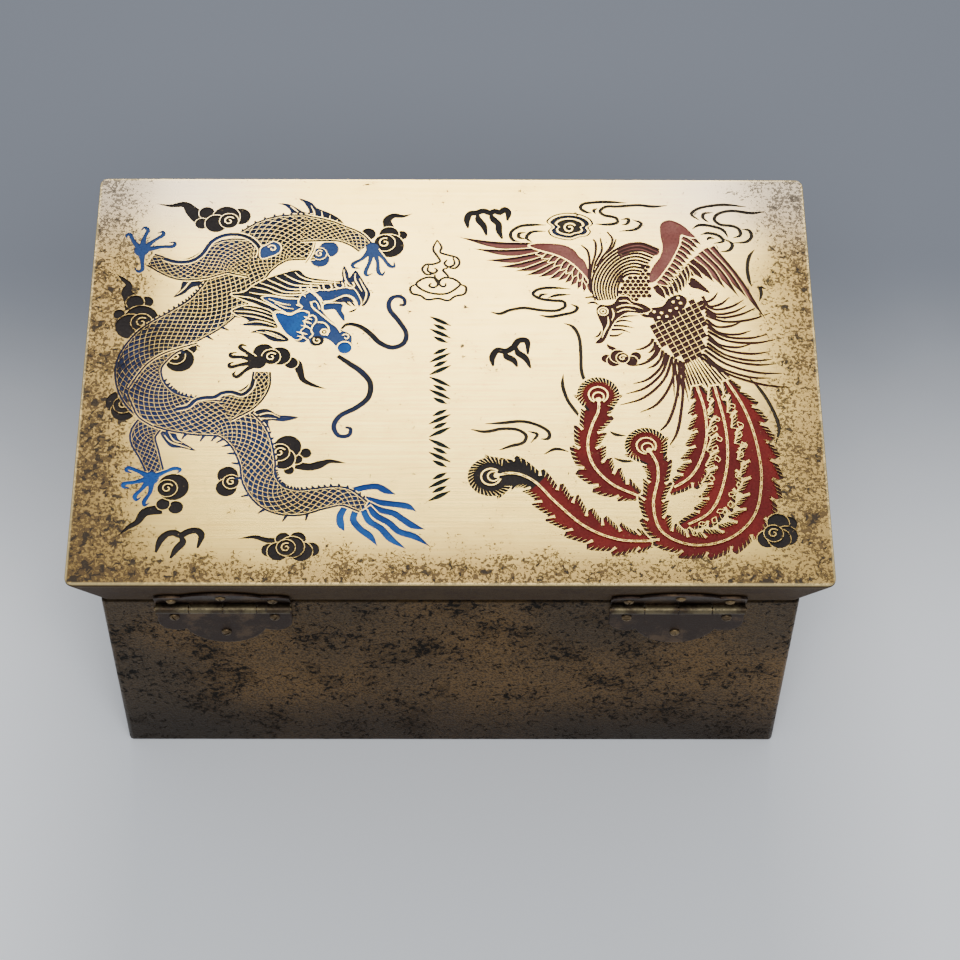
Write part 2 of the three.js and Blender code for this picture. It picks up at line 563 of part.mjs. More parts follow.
function boxLid(screwHoles) {
  const slopeTop = LID_BASE + SLOPE_HEIGHT;
  const slope = flaredBlock(BODY_WIDTH, BODY_DEPTH, LID_CORNER, LID_BASE, slopeTop, FLARE);
  const plate = flaredBlock(LID_WIDTH, LID_DEPTH, LID_CORNER, slopeTop, BOX_HEIGHT);
  const ceiling = BOX_HEIGHT - SHEET;
  const hollowFlare = FLARE * (ceiling - LID_BASE + OVERCUT) / SLOPE_HEIGHT;
  const footShrink = 2 * SHEET + 2 * FLARE * OVERCUT / SLOPE_HEIGHT;
  const hollow = flaredBlock(
    BODY_WIDTH - footShrink, BODY_DEPTH - footShrink, LID_CORNER / 2,
    LID_BASE - OVERCUT, ceiling, hollowFlare);
  return geometryOf(cut(joined([slope, plate]), [hollow, engraving(), ...screwHoles]));
}

// Hinges. A leaf is drawn in its own plane: x across, z away from the pin, y = 0 on the face that
// carries it, and -y outwards.

// A scalloped outline: two rounded corner lobes that meet a wide round tip at cusps.
function leafShape(start, length) {
  const squeeze = length / LOWER_LEAF_DROP; // the upper leaf is the same outline, made shorter
  const lobeX = LEAF_WIDTH / 2 - LOBE_RADIUS;
  const cuspX = lobeX + LOBE_RADIUS * Math.cos(CUSP_ANGLE);
  const cuspZ = LOBE_CENTRE_DROP + LOBE_RADIUS * Math.sin(CUSP_ANGLE);
  const tipRise = LOWER_LEAF_DROP - cuspZ;
  const tipRadius = (cuspX ** 2 + tipRise ** 2) / (2 * tipRise); // through the cusps and the tip
  const tipCentre = LOWER_LEAF_DROP - tipRadius;
  const tipAngle = Math.atan2(cuspZ - tipCentre, cuspX);
  const shape = new THREE.Shape();
  shape.moveTo(-LEAF_WIDTH / 2, start / squeeze);
  shape.lineTo(LEAF_WIDTH / 2, start / squeeze);
  shape.absarc(lobeX, LOBE_CENTRE_DROP, LOBE_RADIUS, 0, CUSP_ANGLE);
  shape.absarc(0, tipCentre, tipRadius, tipAngle, Math.PI - tipAngle);
  shape.absarc(-lobeX, LOBE_CENTRE_DROP, LOBE_RADIUS, Math.PI - CUSP_ANGLE, Math.PI);
  const points = shape.getPoints(LEAF_ARC_STEPS).map((point) => point.set(point.x, point.y * squeeze));
  return new THREE.Shape(withoutRepeats(points));
}

// A plate on the leaf's outline, standing on y = -LEAF_GAP.
function leafPlate(start, length) {
  const geometry = new THREE.ExtrudeGeometry(leafShape(start, length), {
    depth: LEAF_SHEET, steps: 1, bevelEnabled: false,
  });
  return solid(geometry.rotateX(Math.PI / 2).translate(0, -LEAF_GAP, 0));
}

function acrossCylinder(radius, from, to) {
  const geometry = new THREE.CylinderGeometry(radius, radius, to - from, KNUCKLE_SIDES);
  return geometry.rotateZ(Math.PI / 2).translate((from + to) / 2, -PIN_OUT, -PIN_DROP);
}

// The stretches of the pin that one leaf's knuckles take: every second one, from `first` on.
function knuckleSpans(first) {
  const pitch = LEAF_WIDTH / KNUCKLE_COUNT;
  const spans = [];
  for (let i = first; i < KNUCKLE_COUNT; i += 2) {
    const start = -LEAF_WIDTH / 2 + i * pitch;
    spans.push([start + KNUCKLE_GAP / 2, start + pitch - KNUCKLE_GAP / 2]);
  }
  return spans;
}

// The strip of sheet that turns from a leaf into its knuckle, beside the pin at height z.
function knuckleWeb([from, to], z) {
  const reach = PIN_OUT - LEAF_GAP;
  const geometry = new THREE.BoxGeometry(to - from, reach, LEAF_SHEET);
  return solid(geometry.translate((from + to) / 2, -LEAF_GAP - reach / 2, z));
}

// One leaf: its plate, turned into place by `lean`, with knuckles round the pin and screw holes.
function hingeLeaf(lean, start, length, ownSpans, otherSpans, webZ) {
  const plate = solid(geometryOf(leafPlate(start, length)).applyMatrix4(lean));
  const knuckles = ownSpans.map(([from, to]) => solid(acrossCylinder(KNUCKLE_RADIUS, from, to)));
  const webs = ownSpans.map((span) => knuckleWeb(span, webZ));
  const bores = ownSpans.map(([from, to]) =>
    solid(acrossCylinder(KNUCKLE_BORE, from - OVERCUT, to + OVERCUT)));
  const clearances = otherSpans.map(([from, to]) =>
    solid(acrossCylinder(KNUCKLE_RADIUS + KNUCKLE_GAP, from - KNUCKLE_GAP / 2, to + KNUCKLE_GAP / 2)));
  const holes = screwPlaces(length).map((place) => screwHole(place, lean));
  return geometryOf(cut(joined([plate, ...knuckles, ...webs]), [...bores, ...clearances, ...holes]));
}

// Screws

function screwPlaces(length) {
  const side = length * SIDE_SCREW_SHARE;
  return [[-SIDE_SCREW_OFFSET, side], [0, length * TIP_SCREW_SHARE], [SIDE_SCREW_OFFSET, side]];
}

// A round-head screw along y, its head outwards, seated on the leaf.
function screwGeometry() {
  const seat = LEAF_GAP + LEAF_SHEET + SCREW_SEAT_GAP;
  const profile = [
    [0, seat - SCREW_LENGTH],
    [SCREW_SHANK_RADIUS, seat - SCREW_LENGTH],
    [SCREW_SHANK_RADIUS, seat],
    [SCREW_HEAD_RADIUS, seat],
    [SCREW_SHOULDER_RADIUS, seat + SCREW_SHOULDER_HEIGHT],
    [0, seat + SCREW_HEAD_HEIGHT],
  ].map(([radius, height]) => new THREE.Vector2(radius, height));
  return new THREE.LatheGeometry(profile, SCREW_SIDES).rotateX(Math.PI);
}

// The cutter for one screw's hole, through the leaf and blind in the sheet behind it.
function screwHole([x, z], lean) {
  const depth = SCREW_LENGTH - LEAF_SHEET;
  const outer = LEAF_GAP + LEAF_SHEET + OVERCUT;
  const geometry = new THREE.CylinderGeometry(
    SCREW_HOLE_RADIUS, SCREW_HOLE_RADIUS, outer + depth, SCREW_SIDES);
  return solid(geometry.translate(x, (depth - outer) / 2, z).applyMatrix4(lean));
}

// Assembly

// Where a leaf's own plane goes, from the middle of a hinge on the joint line of the back face.
const hangingDown = new THREE.Matrix4().makeRotationY(Math.PI);
const leaningOut = new THREE.Matrix4().makeRotationX(SLOPE_ANGLE).setPosition(0, 0, JOINT_GAP);

const box = new THREE.Group();
const bodyHoles = [];
const lidHoles = [];

for (const [side, sign] of [['left', -1], ['right', 1]]) {
  const hinge = new THREE.Group();
  hinge.position.set(sign * HINGE_SPREAD / 2, BACK_Y, BODY_HEIGHT);
  box.add(hinge);
  hinge.updateMatrix();

  const lowerSpans = knuckleSpans(0);
  const upperSpans = knuckleSpans(1);
  const lowerWeb = -PIN_DROP - KNUCKLE_RADIUS + LEAF_SHEET / 2;
  const upperWeb = -PIN_DROP + KNUCKLE_RADIUS - LEAF_SHEET / 2;
  const leaves = [
    ['lower', hangingDown, LOWER_LEAF_START, LOWER_LEAF_DROP, lowerSpans, upperSpans, lowerWeb, bodyHoles],
    ['upper', leaningOut, 0, UPPER_LEAF_RISE, upperSpans, lowerSpans, upperWeb, lidHoles],
  ];
  for (const [name, lean, start, length, own, other, web, holes] of leaves) {
    const leaf = hingeLeaf(lean, start, length, own, other, web);
    hinge.add(named(`hinge_${side}_${name}_leaf`, leaf, darkBronze));
    screwPlaces(length).forEach(([x, z], i) => {
      const screw = screwGeometry().translate(x, 0, z).applyMatrix4(lean);
      hinge.add(named(`hinge_${side}_${name}_screw_${i + 1}`, screw, screwBrass));
      const hole = geometryOf(screwHole([x, z], lean)).applyMatrix4(hinge.matrix);
      holes.push(solid(hole));
    });
  }
  const pinReach = LEAF_WIDTH / 2 + PIN_OVERHANG;
  hinge.add(named(`hinge_${side}_pin`, acrossCylinder(PIN_RADIUS, -pinReach, pinReach), screwBrass));
}

box.add(named('body', boxBody(bodyHoles), agedBrass));
box.add(named('lid', boxLid(lidHoles), polishedBrass));

export default box;
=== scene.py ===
# %% [markdown]
# # A brass jewelry box with an engraved lid
# The box is folded from 2 mm brass sheet. Its lid flares out to a flat top that is engraved with a
# dragon and a phoenix, and the sunk parts are filled with colour. Two scalloped hinges hold the lid.
# The solids give every size. This lesson gives each of them its finished shape and surface.

# %% Load the frame
import json
import math
import random
from collections import Counter

import bmesh
import bpy
from mathutils import Matrix, Vector
from mathutils.geometry import delaunay_2d_cdt, intersect_point_tri_2d, tessellate_polygon

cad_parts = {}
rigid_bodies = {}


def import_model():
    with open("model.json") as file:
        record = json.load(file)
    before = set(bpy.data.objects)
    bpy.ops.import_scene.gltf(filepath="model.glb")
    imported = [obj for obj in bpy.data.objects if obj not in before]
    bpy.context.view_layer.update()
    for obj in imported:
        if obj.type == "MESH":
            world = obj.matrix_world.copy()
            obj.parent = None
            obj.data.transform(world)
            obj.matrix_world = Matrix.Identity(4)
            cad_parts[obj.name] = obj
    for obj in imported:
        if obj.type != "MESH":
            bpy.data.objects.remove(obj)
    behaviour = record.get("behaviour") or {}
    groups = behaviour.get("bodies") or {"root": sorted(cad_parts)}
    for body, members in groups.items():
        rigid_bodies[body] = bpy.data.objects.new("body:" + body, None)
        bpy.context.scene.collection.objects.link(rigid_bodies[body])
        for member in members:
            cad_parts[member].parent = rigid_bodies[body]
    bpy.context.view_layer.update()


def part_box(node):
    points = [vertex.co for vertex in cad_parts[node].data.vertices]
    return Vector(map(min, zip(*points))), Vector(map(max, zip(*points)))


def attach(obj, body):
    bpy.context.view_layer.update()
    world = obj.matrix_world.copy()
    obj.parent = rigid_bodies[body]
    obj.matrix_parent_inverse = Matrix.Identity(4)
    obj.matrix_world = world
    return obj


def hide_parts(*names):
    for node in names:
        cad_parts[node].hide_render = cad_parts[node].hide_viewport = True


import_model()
MM = 0.001

body_low, body_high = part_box("body")
lid_low, lid_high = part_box("lid")
SHEET = 2 * MM
LIP = 1.2 * MM
PIN_OUT = 2.2 * MM
PIN_DROP = 0.8 * MM
KNUCKLE_RADIUS = 1.35 * MM
BODY_SIZE = body_high - body_low
LID_SIZE = lid_high - lid_low
HINGE_Z = body_high.z
BACK_Y = body_low.y
print("body", [round(v / MM, 1) for v in BODY_SIZE], "lid", [round(v / MM, 1) for v in LID_SIZE])

# %% [markdown]
# ## Working helpers
# Operators act on whatever is selected, and the loaded solids start out selected. So every piece
# begins with nothing selected, and one object is made active by hand before it is shaped.


# %% Selection and finishing helpers
LARGE_FACE = 400e-6
FACE_FRAME = 0.15e-3


def only(obj):
    """Makes one object the selected and active one."""
    bpy.ops.object.select_all(action="DESELECT")
    obj.select_set(True)
    bpy.context.view_layer.objects.active = obj
    return obj


def started(name):
    """Names the primitive that an operator has just added."""
    obj = bpy.context.object
    obj.name = name
    obj.data.name = name
    return obj


def settled(obj):
    """Puts an object's place, turn and size into its mesh."""
    only(obj)
    bpy.ops.object.transform_apply(location=True, rotation=True, scale=True)
    return obj


def finished_with(obj, kind, **settings):
    """Adds a modifier and applies it."""
    only(obj)
    modifier = obj.modifiers.new(kind.lower(), kind)
    for key, value in settings.items():
        setattr(modifier, key, value)
    bpy.ops.object.modifier_apply(modifier=modifier.name)
    return obj


def cleared(obj):
    """Makes an object active with no part of its mesh selected."""
    only(obj)
    for part in (obj.data.vertices, obj.data.edges, obj.data.polygons):
        part.foreach_set("select", [False] * len(part))


def select_faces(obj, test):
    """Enters edit mode with the faces that pass the test selected."""
    cleared(obj)
    for face in obj.data.polygons:
        face.select = test(face)
    bpy.ops.object.mode_set(mode="EDIT")
    bpy.ops.mesh.select_mode(type="FACE")


def select_edges(obj, test):
    """Enters edit mode with the edges selected whose two ends pass the test."""
    cleared(obj)
    for edge in obj.data.edges:
        edge.select = test(*(obj.data.vertices[i].co for i in edge.vertices))
    bpy.ops.object.mode_set(mode="EDIT")
    bpy.ops.mesh.select_mode(type="EDGE")


def edit_done():
    bpy.ops.object.mode_set(mode="OBJECT")


def joined(first, *others):
    """Makes several objects one."""
    only(first)
    for other in others:
        other.select_set(True)
    bpy.ops.object.join()
    return first


def smooth_by_angle(obj, degrees=35):
    """Smooths the soft edges. A narrow frame round each large face keeps the face itself flat."""
    select_faces(obj, lambda face: face.area > LARGE_FACE)
    bpy.ops.mesh.inset(thickness=FACE_FRAME, use_individual=True)
    edit_done()
    only(obj)
    bpy.ops.object.shade_smooth_by_angle(angle=math.radians(degrees))


def block(name, low, high):
    """A cuboid between two corners."""
    bpy.ops.object.select_all(action="DESELECT")
    middle = (Vector(low) + Vector(high)) / 2
    bpy.ops.mesh.primitive_cube_add(size=1, location=middle, scale=Vector(high) - Vector(low))
    return settled(started(name))


# %% [markdown]
# ## Finishes
# Old brass is never one colour. A warm metal shows through a thin brown skin, dark crumbs of
# tarnish sit in the pores, and handled edges are rubbed bright. Painted textures could hold that,
# but noise that is read from the object's own coordinates needs no picture and runs across every
# face without a seam. A few short helpers keep the node trees readable.


# %% Node helpers
# Noise scales, in waves to a metre
GRAIN = 1500
LID_BROAD, LID_PATCHY, LID_LUMPS, LID_CRUMBS = 26, 130, 520, 1050
BODY_BROAD, BODY_CLOUDY, BODY_CRUMBS = 13, 70, 640
FILL_RUBBED = 700
SMALL_BROAD, SMALL_FINE = 140, 1400
# Depths of the surface's unevenness
LID_PITS, BODY_PITS, FILL_PITS, SMALL_PITS = 0.04 * MM, 0.15 * MM, 0.08 * MM, 0.05 * MM


def finish(name):
    material = bpy.data.materials.new(name)
    material.use_nodes = True
    return material, material.node_tree, material.node_tree.nodes["Principled BSDF"]


def put(tree, kind, inputs=None, **settings):
    """Adds a node. An input is a number, a colour or another node's output."""
    node = tree.nodes.new("ShaderNode" + kind)
    for key, value in settings.items():
        setattr(node, key, value)
    for key, value in (inputs or {}).items():
        if isinstance(value, bpy.types.NodeSocket):
            tree.links.new(value, node.inputs[key])
        else:
            node.inputs[key].default_value = value
    return node


def maths(tree, operation, a, b=0.0):
    return put(tree, "Math", {0: a, 1: b}, operation=operation).outputs[0]


def plus(tree, a, b):
    return maths(tree, "ADD", a, b)


def minus(tree, a, b):
    return maths(tree, "SUBTRACT", a, b)


def times(tree, a, b):
    return maths(tree, "MULTIPLY", a, b)


def between(tree, value, low, high, to_low=0.0, to_high=1.0):
    """Eases a value from one range to another, held at the ends."""
    inputs = {"Value": value, "From Min": low, "From Max": high, "To Min": to_low, "To Max": to_high}
    return put(tree, "MapRange", inputs, interpolation_type="SMOOTHSTEP").outputs["Result"]


def blended(tree, share, a, b):
    """A colour from a to b."""
    return put(tree, "Mix", {0: share, 6: a, 7: b}, data_type="RGBA").outputs[2]


def noise(tree, where, scale, detail=4.0, roughness=0.6, distortion=0.0):
    inputs = {"Vector": where, "Scale": scale, "Detail": detail, "Roughness": roughness,
              "Distortion": distortion}
    return put(tree, "TexNoise", inputs).outputs["Fac"]


def stretched(tree, where, scale):
    return put(tree, "Mapping", {"Vector": where, "Scale": scale}).outputs["Vector"]


def bumped(tree, shader, height, distance, strength=1.0):
    node = put(tree, "Bump", {"Height": height, "Distance": distance, "Strength": strength})
    tree.links.new(node.outputs["Normal"], shader.inputs["Normal"])


def colour(red, green, blue):
    """A colour given as the eye reads it on a screen, from 0 to 255."""
    def linear(v):
        v /= 255
        return v / 12.92 if v <= 0.04045 else ((v + 0.055) / 1.055) ** 2.4
    return (linear(red), linear(green), linear(blue), 1.0)


# %% [markdown]
# ### The lid's brass
# The top of the lid is the polished face: pale gold in the middle, and browner towards the edges,
# most of all at the left and right, where fine dark crumbs crowd together. The distance to the
# nearest edge, shaken by a broad noise, says how dirty a place is. Fine noise then decides where a
# crumb sits: the dirtier the place, the lower the level it has to pass. The back corners are grey.
# Below the top, the lip and the leaning sides are coloured dark and dull. A thin bright line along
# the top's edges is a painted highlight.


# %% Tarnished brass of the lid
def lid_brass():
    material, tree, shader = finish("engraved_lid_brass")
    where = put(tree, "TexCoord").outputs["Object"]
    place = put(tree, "SeparateXYZ", {0: where})
    x, y, z = (place.outputs[i] for i in range(3))
    broad = noise(tree, where, LID_BROAD, 3)
    patchy = noise(tree, where, LID_PATCHY, 4, 0.6)
    closer = between(tree, y, -0.06, 0.06, 0.8, 1.25)
    from_left = times(tree, plus(tree, x, LID_SIZE.x / 2), closer)
    from_right = times(tree, minus(tree, LID_SIZE.x / 2, x), 1.2)
    from_front = times(tree, plus(tree, y, LID_SIZE.y / 2), 1.9)
    from_edge = maths(tree, "MINIMUM", maths(tree, "MINIMUM", from_left, from_right), from_front)
    shaken = plus(tree, from_edge, times(tree, minus(tree, broad, 0.5), 0.03))
    dirt = between(tree, shaken, 0.001, 0.037, 1, 0)
    near_corner = plus(tree, from_left, times(tree, plus(tree, y, LID_SIZE.y / 2), 0.3))
    corner_dirt = between(tree, near_corner, 0.002, 0.034, 1, 0)
    uneven = times(tree, minus(tree, patchy, 0.5), 0.36)
    crumbs = plus(tree, noise(tree, where, LID_CRUMBS, 5, 0.66, 0.5), uneven)
    level = minus(tree, between(tree, dirt, 0, 1, 0.68, 0.49), times(tree, corner_dirt, 0.06))
    crumb = between(tree, minus(tree, crumbs, level), 0.0, 0.07)
    lumps = plus(tree, noise(tree, where, LID_LUMPS, 4, 0.6, 0.6), uneven)
    lump_level = minus(tree, between(tree, dirt, 0, 1, 0.73, 0.59), times(tree, corner_dirt, 0.06))
    lump = between(tree, minus(tree, lumps, lump_level), 0.0, 0.06)
    brushed = noise(tree, stretched(tree, where, (30, 1100, 1100)), 1.0, 4)
    gold = blended(tree, between(tree, brushed, 0.3, 0.7), colour(208, 176, 94), colour(220, 190, 107))
    warm = blended(tree, between(tree, patchy, 0.4, 0.7, 0, 0.3), gold, colour(188, 154, 82))
    toned = blended(tree, times(tree, dirt, 0.8), warm, colour(150, 122, 76))
    toned = blended(tree, times(tree, corner_dirt, 0.5), toned, colour(112, 90, 58))
    off_middle = between(tree, maths(tree, "ABSOLUTE", x), 0.03, 0.08)
    grey = times(tree, off_middle, between(tree, y, 0.034, 0.066, 0, 0.85))
    toned = blended(tree, grey, toned, colour(180, 166, 146))
    soot = blended(tree, grey, colour(84, 64, 41), colour(128, 114, 96))
    toned = blended(tree, times(tree, crumb, 0.8), toned, soot)
    toned = blended(tree, times(tree, lump, between(tree, grey, 0, 1, 0.85, 0.4)), toned, colour(44, 33, 22))
    # Painted highlight: a thin bright line along the edges of the top, where the polished edge would catch
    # the light.
    to_side = minus(tree, LID_SIZE.x / 2, maths(tree, "ABSOLUTE", x))
    to_end = minus(tree, LID_SIZE.y / 2, maths(tree, "ABSOLUTE", y))
    rim = between(tree, maths(tree, "MINIMUM", to_side, to_end), 0.0003, 0.0009, 0.6, 0)
    toned = blended(tree, rim, toned, colour(232, 206, 142))
    slope = between(tree, z, lid_high.z - LIP * 0.5, lid_high.z - LIP * 0.15, 1, 0)
    toned = blended(tree, times(tree, slope, 0.95), toned, colour(50, 35, 22))
    tree.links.new(between(tree, slope, 0, 1, 0.5, 0.1), shader.inputs["Specular IOR Level"])
    tree.links.new(toned, shader.inputs["Base Color"])
    dark = maths(tree, "MAXIMUM", lump, times(tree, crumb, 0.6))
    dull = maths(tree, "MAXIMUM", times(tree, slope, 1.2), dark)
    tree.links.new(between(tree, dull, 0, 1.2, 1.0, 0.3), shader.inputs["Metallic"])
    rough = plus(tree, between(tree, dirt, 0, 1, 0.27, 0.38), times(tree, dull, 0.22))
    tree.links.new(rough, shader.inputs["Roughness"])
    height = minus(tree, times(tree, brushed, 0.2), dark)
    bumped(tree, shader, height, LID_PITS)
    return material


LID_BRASS = lid_brass()
print("finish:", LID_BRASS.name, len(LID_BRASS.node_tree.nodes), "nodes")

# %% [markdown]
# ### The body's brass
# The sides were never polished back. They are dark olive brown with a golden glow, mostly near the
# middle, and black crumbs of tarnish sit in clumps. A broad noise places the glow, a middle one the
# clumps and a fine one the single crumbs. The foot is darker, and a narrow band just under the lid is
# painted darker as the shade of its overhang.


# %% Dark brass of the body
def body_brass():
    material, tree, shader = finish("dark_body_brass")
    where = put(tree, "TexCoord").outputs["Object"]
    place = put(tree, "SeparateXYZ", {0: where})
    x, z = place.outputs[0], place.outputs[2]
    middle = between(tree, maths(tree, "ABSOLUTE", plus(tree, x, 0.02)), 0.0, 0.07, 0.15, 0)
    broad = plus(tree, noise(tree, where, BODY_BROAD, 2, 0.5), middle)
    cloudy = noise(tree, where, BODY_CLOUDY, 6, 0.7)
    fine = noise(tree, where, BODY_CRUMBS, 5, 0.7, 0.5)
    grain = noise(tree, where, GRAIN, 3, 0.7)
    glow = between(tree, plus(tree, broad, times(tree, cloudy, 0.3)), 0.57, 0.88)
    base = blended(tree, glow, colour(74, 59, 39), colour(122, 92, 51))
    base = blended(tree, between(tree, grain, 0.42, 0.62, 0, 0.8), base, colour(43, 32, 18))
    stain = between(tree, cloudy, 0.46, 0.64)
    base = blended(tree, times(tree, stain, 0.5), base, colour(45, 33, 19))
    clumped = plus(tree, fine, times(tree, minus(tree, cloudy, 0.5), 0.5))
    crumb = between(tree, clumped, 0.55, 0.61)
    base = blended(tree, times(tree, crumb, 0.95), base, colour(14, 11, 8))
    foot = between(tree, plus(tree, z, times(tree, cloudy, 0.014)), 0.012, 0.042, 0.75, 0)
    base = blended(tree, foot, base, colour(31, 21, 10))
    # Painted shade: a narrow band just under the lid's overhang is darkened.
    painted_shade_under_lid = between(tree, z, body_high.z - 0.0016, body_high.z - 0.0006, 0, 0.75)
    base = blended(tree, painted_shade_under_lid, base, colour(20, 15, 11))
    tree.links.new(base, shader.inputs["Base Color"])
    dark = maths(tree, "MAXIMUM", crumb, times(tree, stain, 0.4))
    tree.links.new(between(tree, dark, 0, 1, 0.9, 0.4), shader.inputs["Metallic"])
    tree.links.new(between(tree, dark, 0, 1, 0.4, 0.64), shader.inputs["Roughness"])
    shader.inputs["Specular IOR Level"].default_value = 0.08
    bumped(tree, shader, minus(tree, grain, crumb), BODY_PITS)
    return material


BODY_BRASS = body_brass()
print("finish:", BODY_BRASS.name, len(BODY_BRASS.node_tree.nodes), "nodes")

# %% [markdown]
# ### Colour fills
# The sunk parts of the picture hold a thin, dull fill. Each colour varies softly over the picture,
# is rubbed thin in places so that the metal glints through, and lies a little uneven. One function
# makes them all from two shades.


# %% Fills of the picture
def fill_colour(name, shade, second, rubbed, spread=60):
    material, tree, shader = finish(name)
    where = put(tree, "TexCoord").outputs["Object"]
    patch = between(tree, noise(tree, where, spread, 3), 0.38, 0.62)
    tint = blended(tree, patch, colour(*shade), colour(*second))
    grain = noise(tree, where, GRAIN, 4, 0.7)
    tint = blended(tree, between(tree, grain, 0.45, 0.7, 0, 0.35), tint, colour(30, 26, 24))
    worn = between(tree, noise(tree, where, FILL_RUBBED, 5, 0.7), 0.66 - rubbed, 0.72 - rubbed)
    tint = blended(tree, times(tree, worn, 0.7), tint, colour(190, 160, 110))
    tree.links.new(tint, shader.inputs["Base Color"])
    tree.links.new(times(tree, worn, 0.8), shader.inputs["Metallic"])
    tree.links.new(between(tree, grain, 0.3, 0.7, 0.6, 0.8), shader.inputs["Roughness"])
    shader.inputs["Specular IOR Level"].default_value = 0.25
    bumped(tree, shader, grain, FILL_PITS)
    return material


FILLS = {
    "brass": LID_BRASS,
    "blue": fill_colour("blue_fill", (24, 72, 146), (40, 104, 180), 0.02),
    "steel": fill_colour("steel_blue_fill", (46, 78, 134), (62, 90, 142), 0.02, 40),
    "slate": fill_colour("slate_blue_fill", (36, 36, 42), (42, 60, 108), 0.03, 26),
    "black": fill_colour("black_fill", (36, 30, 28), (46, 39, 36), 0.02),
    "green": fill_colour("green_black_fill", (22, 42, 38), (24, 32, 30), 0.03),
    "olive": fill_colour("olive_line_fill", (64, 54, 40), (50, 42, 34), 0.03),
    "red": fill_colour("red_fill", (112, 26, 24), (134, 36, 30), 0.02),
    "rose": fill_colour("rose_fill", (172, 108, 96), (146, 80, 70), 0.05),
    "brown": fill_colour("brown_red_fill", (82, 42, 34), (66, 38, 32), 0.03),
}
PAINTS = list(FILLS)
print("fills:", ", ".join(PAINTS))


# %% [markdown]
# ### Hinge bronze and screw brass
# The hinges are the darkest metal here, almost black-brown, and only their rubbed rims and their
# barrels shine. Pointiness could find those rims, but it fails on flat plates, so bevels catch the light
# and the finish stays simple: a dark skin with brassy wear where a broad noise is high. The barrels
# get a painted highlight: close to the pin's axis the colour turns brighter where the broad noise is high.


# %% Small metal parts
def small_metal(name, skin, shine, wear, roughness, rubbed):
    material, tree, shader = finish(name)
    where = put(tree, "TexCoord").outputs["Object"]
    broad = noise(tree, where, SMALL_BROAD, 4)
    fine = noise(tree, where, SMALL_FINE, 5, 0.7)
    share = between(tree, plus(tree, broad, times(tree, fine, 0.4)), wear, wear + 0.2)
    base = blended(tree, share, colour(*skin), colour(*shine))
    place = put(tree, "SeparateXYZ", {0: where})
    out = maths(tree, "POWER", minus(tree, place.outputs[1], BACK_Y - PIN_OUT), 2)
    up = maths(tree, "POWER", minus(tree, place.outputs[2], HINGE_Z - PIN_DROP), 2)
    from_axis = maths(tree, "SQRT", plus(tree, out, up))
    painted_barrel_highlight = between(tree, from_axis, KNUCKLE_RADIUS, KNUCKLE_RADIUS * 1.1, 0.85, 0)
    # Painted highlight: close to the pin's axis the knuckle barrels are coloured brighter.
    base = blended(tree, times(tree, painted_barrel_highlight, between(tree, broad, 0.42, 0.58, 0.2, 1)), base, colour(*rubbed))
    base = blended(tree, between(tree, fine, 0.58, 0.66, 0, 0.8), base, colour(22, 17, 14))
    tree.links.new(base, shader.inputs["Base Color"])
    tree.links.new(between(tree, fine, 0.5, 0.68, 0.95, 0.4), shader.inputs["Metallic"])
    tree.links.new(between(tree, fine, 0.3, 0.7, roughness, roughness + 0.2), shader.inputs["Roughness"])
    bumped(tree, shader, fine, SMALL_PITS)
    return material


# The last colour of each is the painted highlight near the pin's axis.
HINGE_BRONZE = small_metal("dark_hinge_bronze", (50, 38, 31), (86, 68, 50), 0.68, 0.36, (108, 98, 74))
SCREW_BRASS = small_metal("screw_brass", (86, 71, 52), (124, 104, 72), 0.64, 0.36, (124, 104, 72))
print("finishes:", HINGE_BRONZE.name, SCREW_BRASS.name)

# %% [markdown]
# ## The box body
# The body is an open tray of folded sheet. Building the walls one by one would leave seams at the
# corners, so a solid block loses its top face and Solidify then gives the one skin that is left
# its true thickness inwards. The corners are rounded first, so that the inside follows them.

# %% Body
BODY_CORNER = 1.2 * MM
EDGE_SOFTNESS = 0.3 * MM


def upright(a, b):
    """True for an edge that runs up and down."""
    return abs(a.z - b.z) > 0.5 * MM


body = block("box_body", body_low, body_high)
select_edges(body, upright)
bpy.ops.mesh.bevel(offset=BODY_CORNER, segments=4, affect="EDGES")
edit_done()
select_faces(body, lambda face: face.normal.z > 0.9)
bpy.ops.mesh.delete(type="FACE")
edit_done()
finished_with(body, "SOLIDIFY", thickness=SHEET, offset=-1, use_even_offset=True)
finished_with(body, "BEVEL", width=EDGE_SOFTNESS, segments=2, limit_method="ANGLE",
              angle_limit=math.radians(40), harden_normals=False)
smooth_by_angle(body)
body.data.materials.append(BODY_BRASS)
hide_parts("body")
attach(body, "box")
print("body:", len(body.data.polygons), "faces")

# %% [markdown]
# ## The lid's shell
# The lid's sides lean out, and a narrow upright lip ends them. A block gets its top face scaled up
# for the slope and extruded for the lip. The open foot goes, Solidify makes the wall, and small
# bevels take the sharpness off. The top face is then cut out: the engraved sheet will fill it.

# %% Lid shell
LID_CORNER = 2.2 * MM

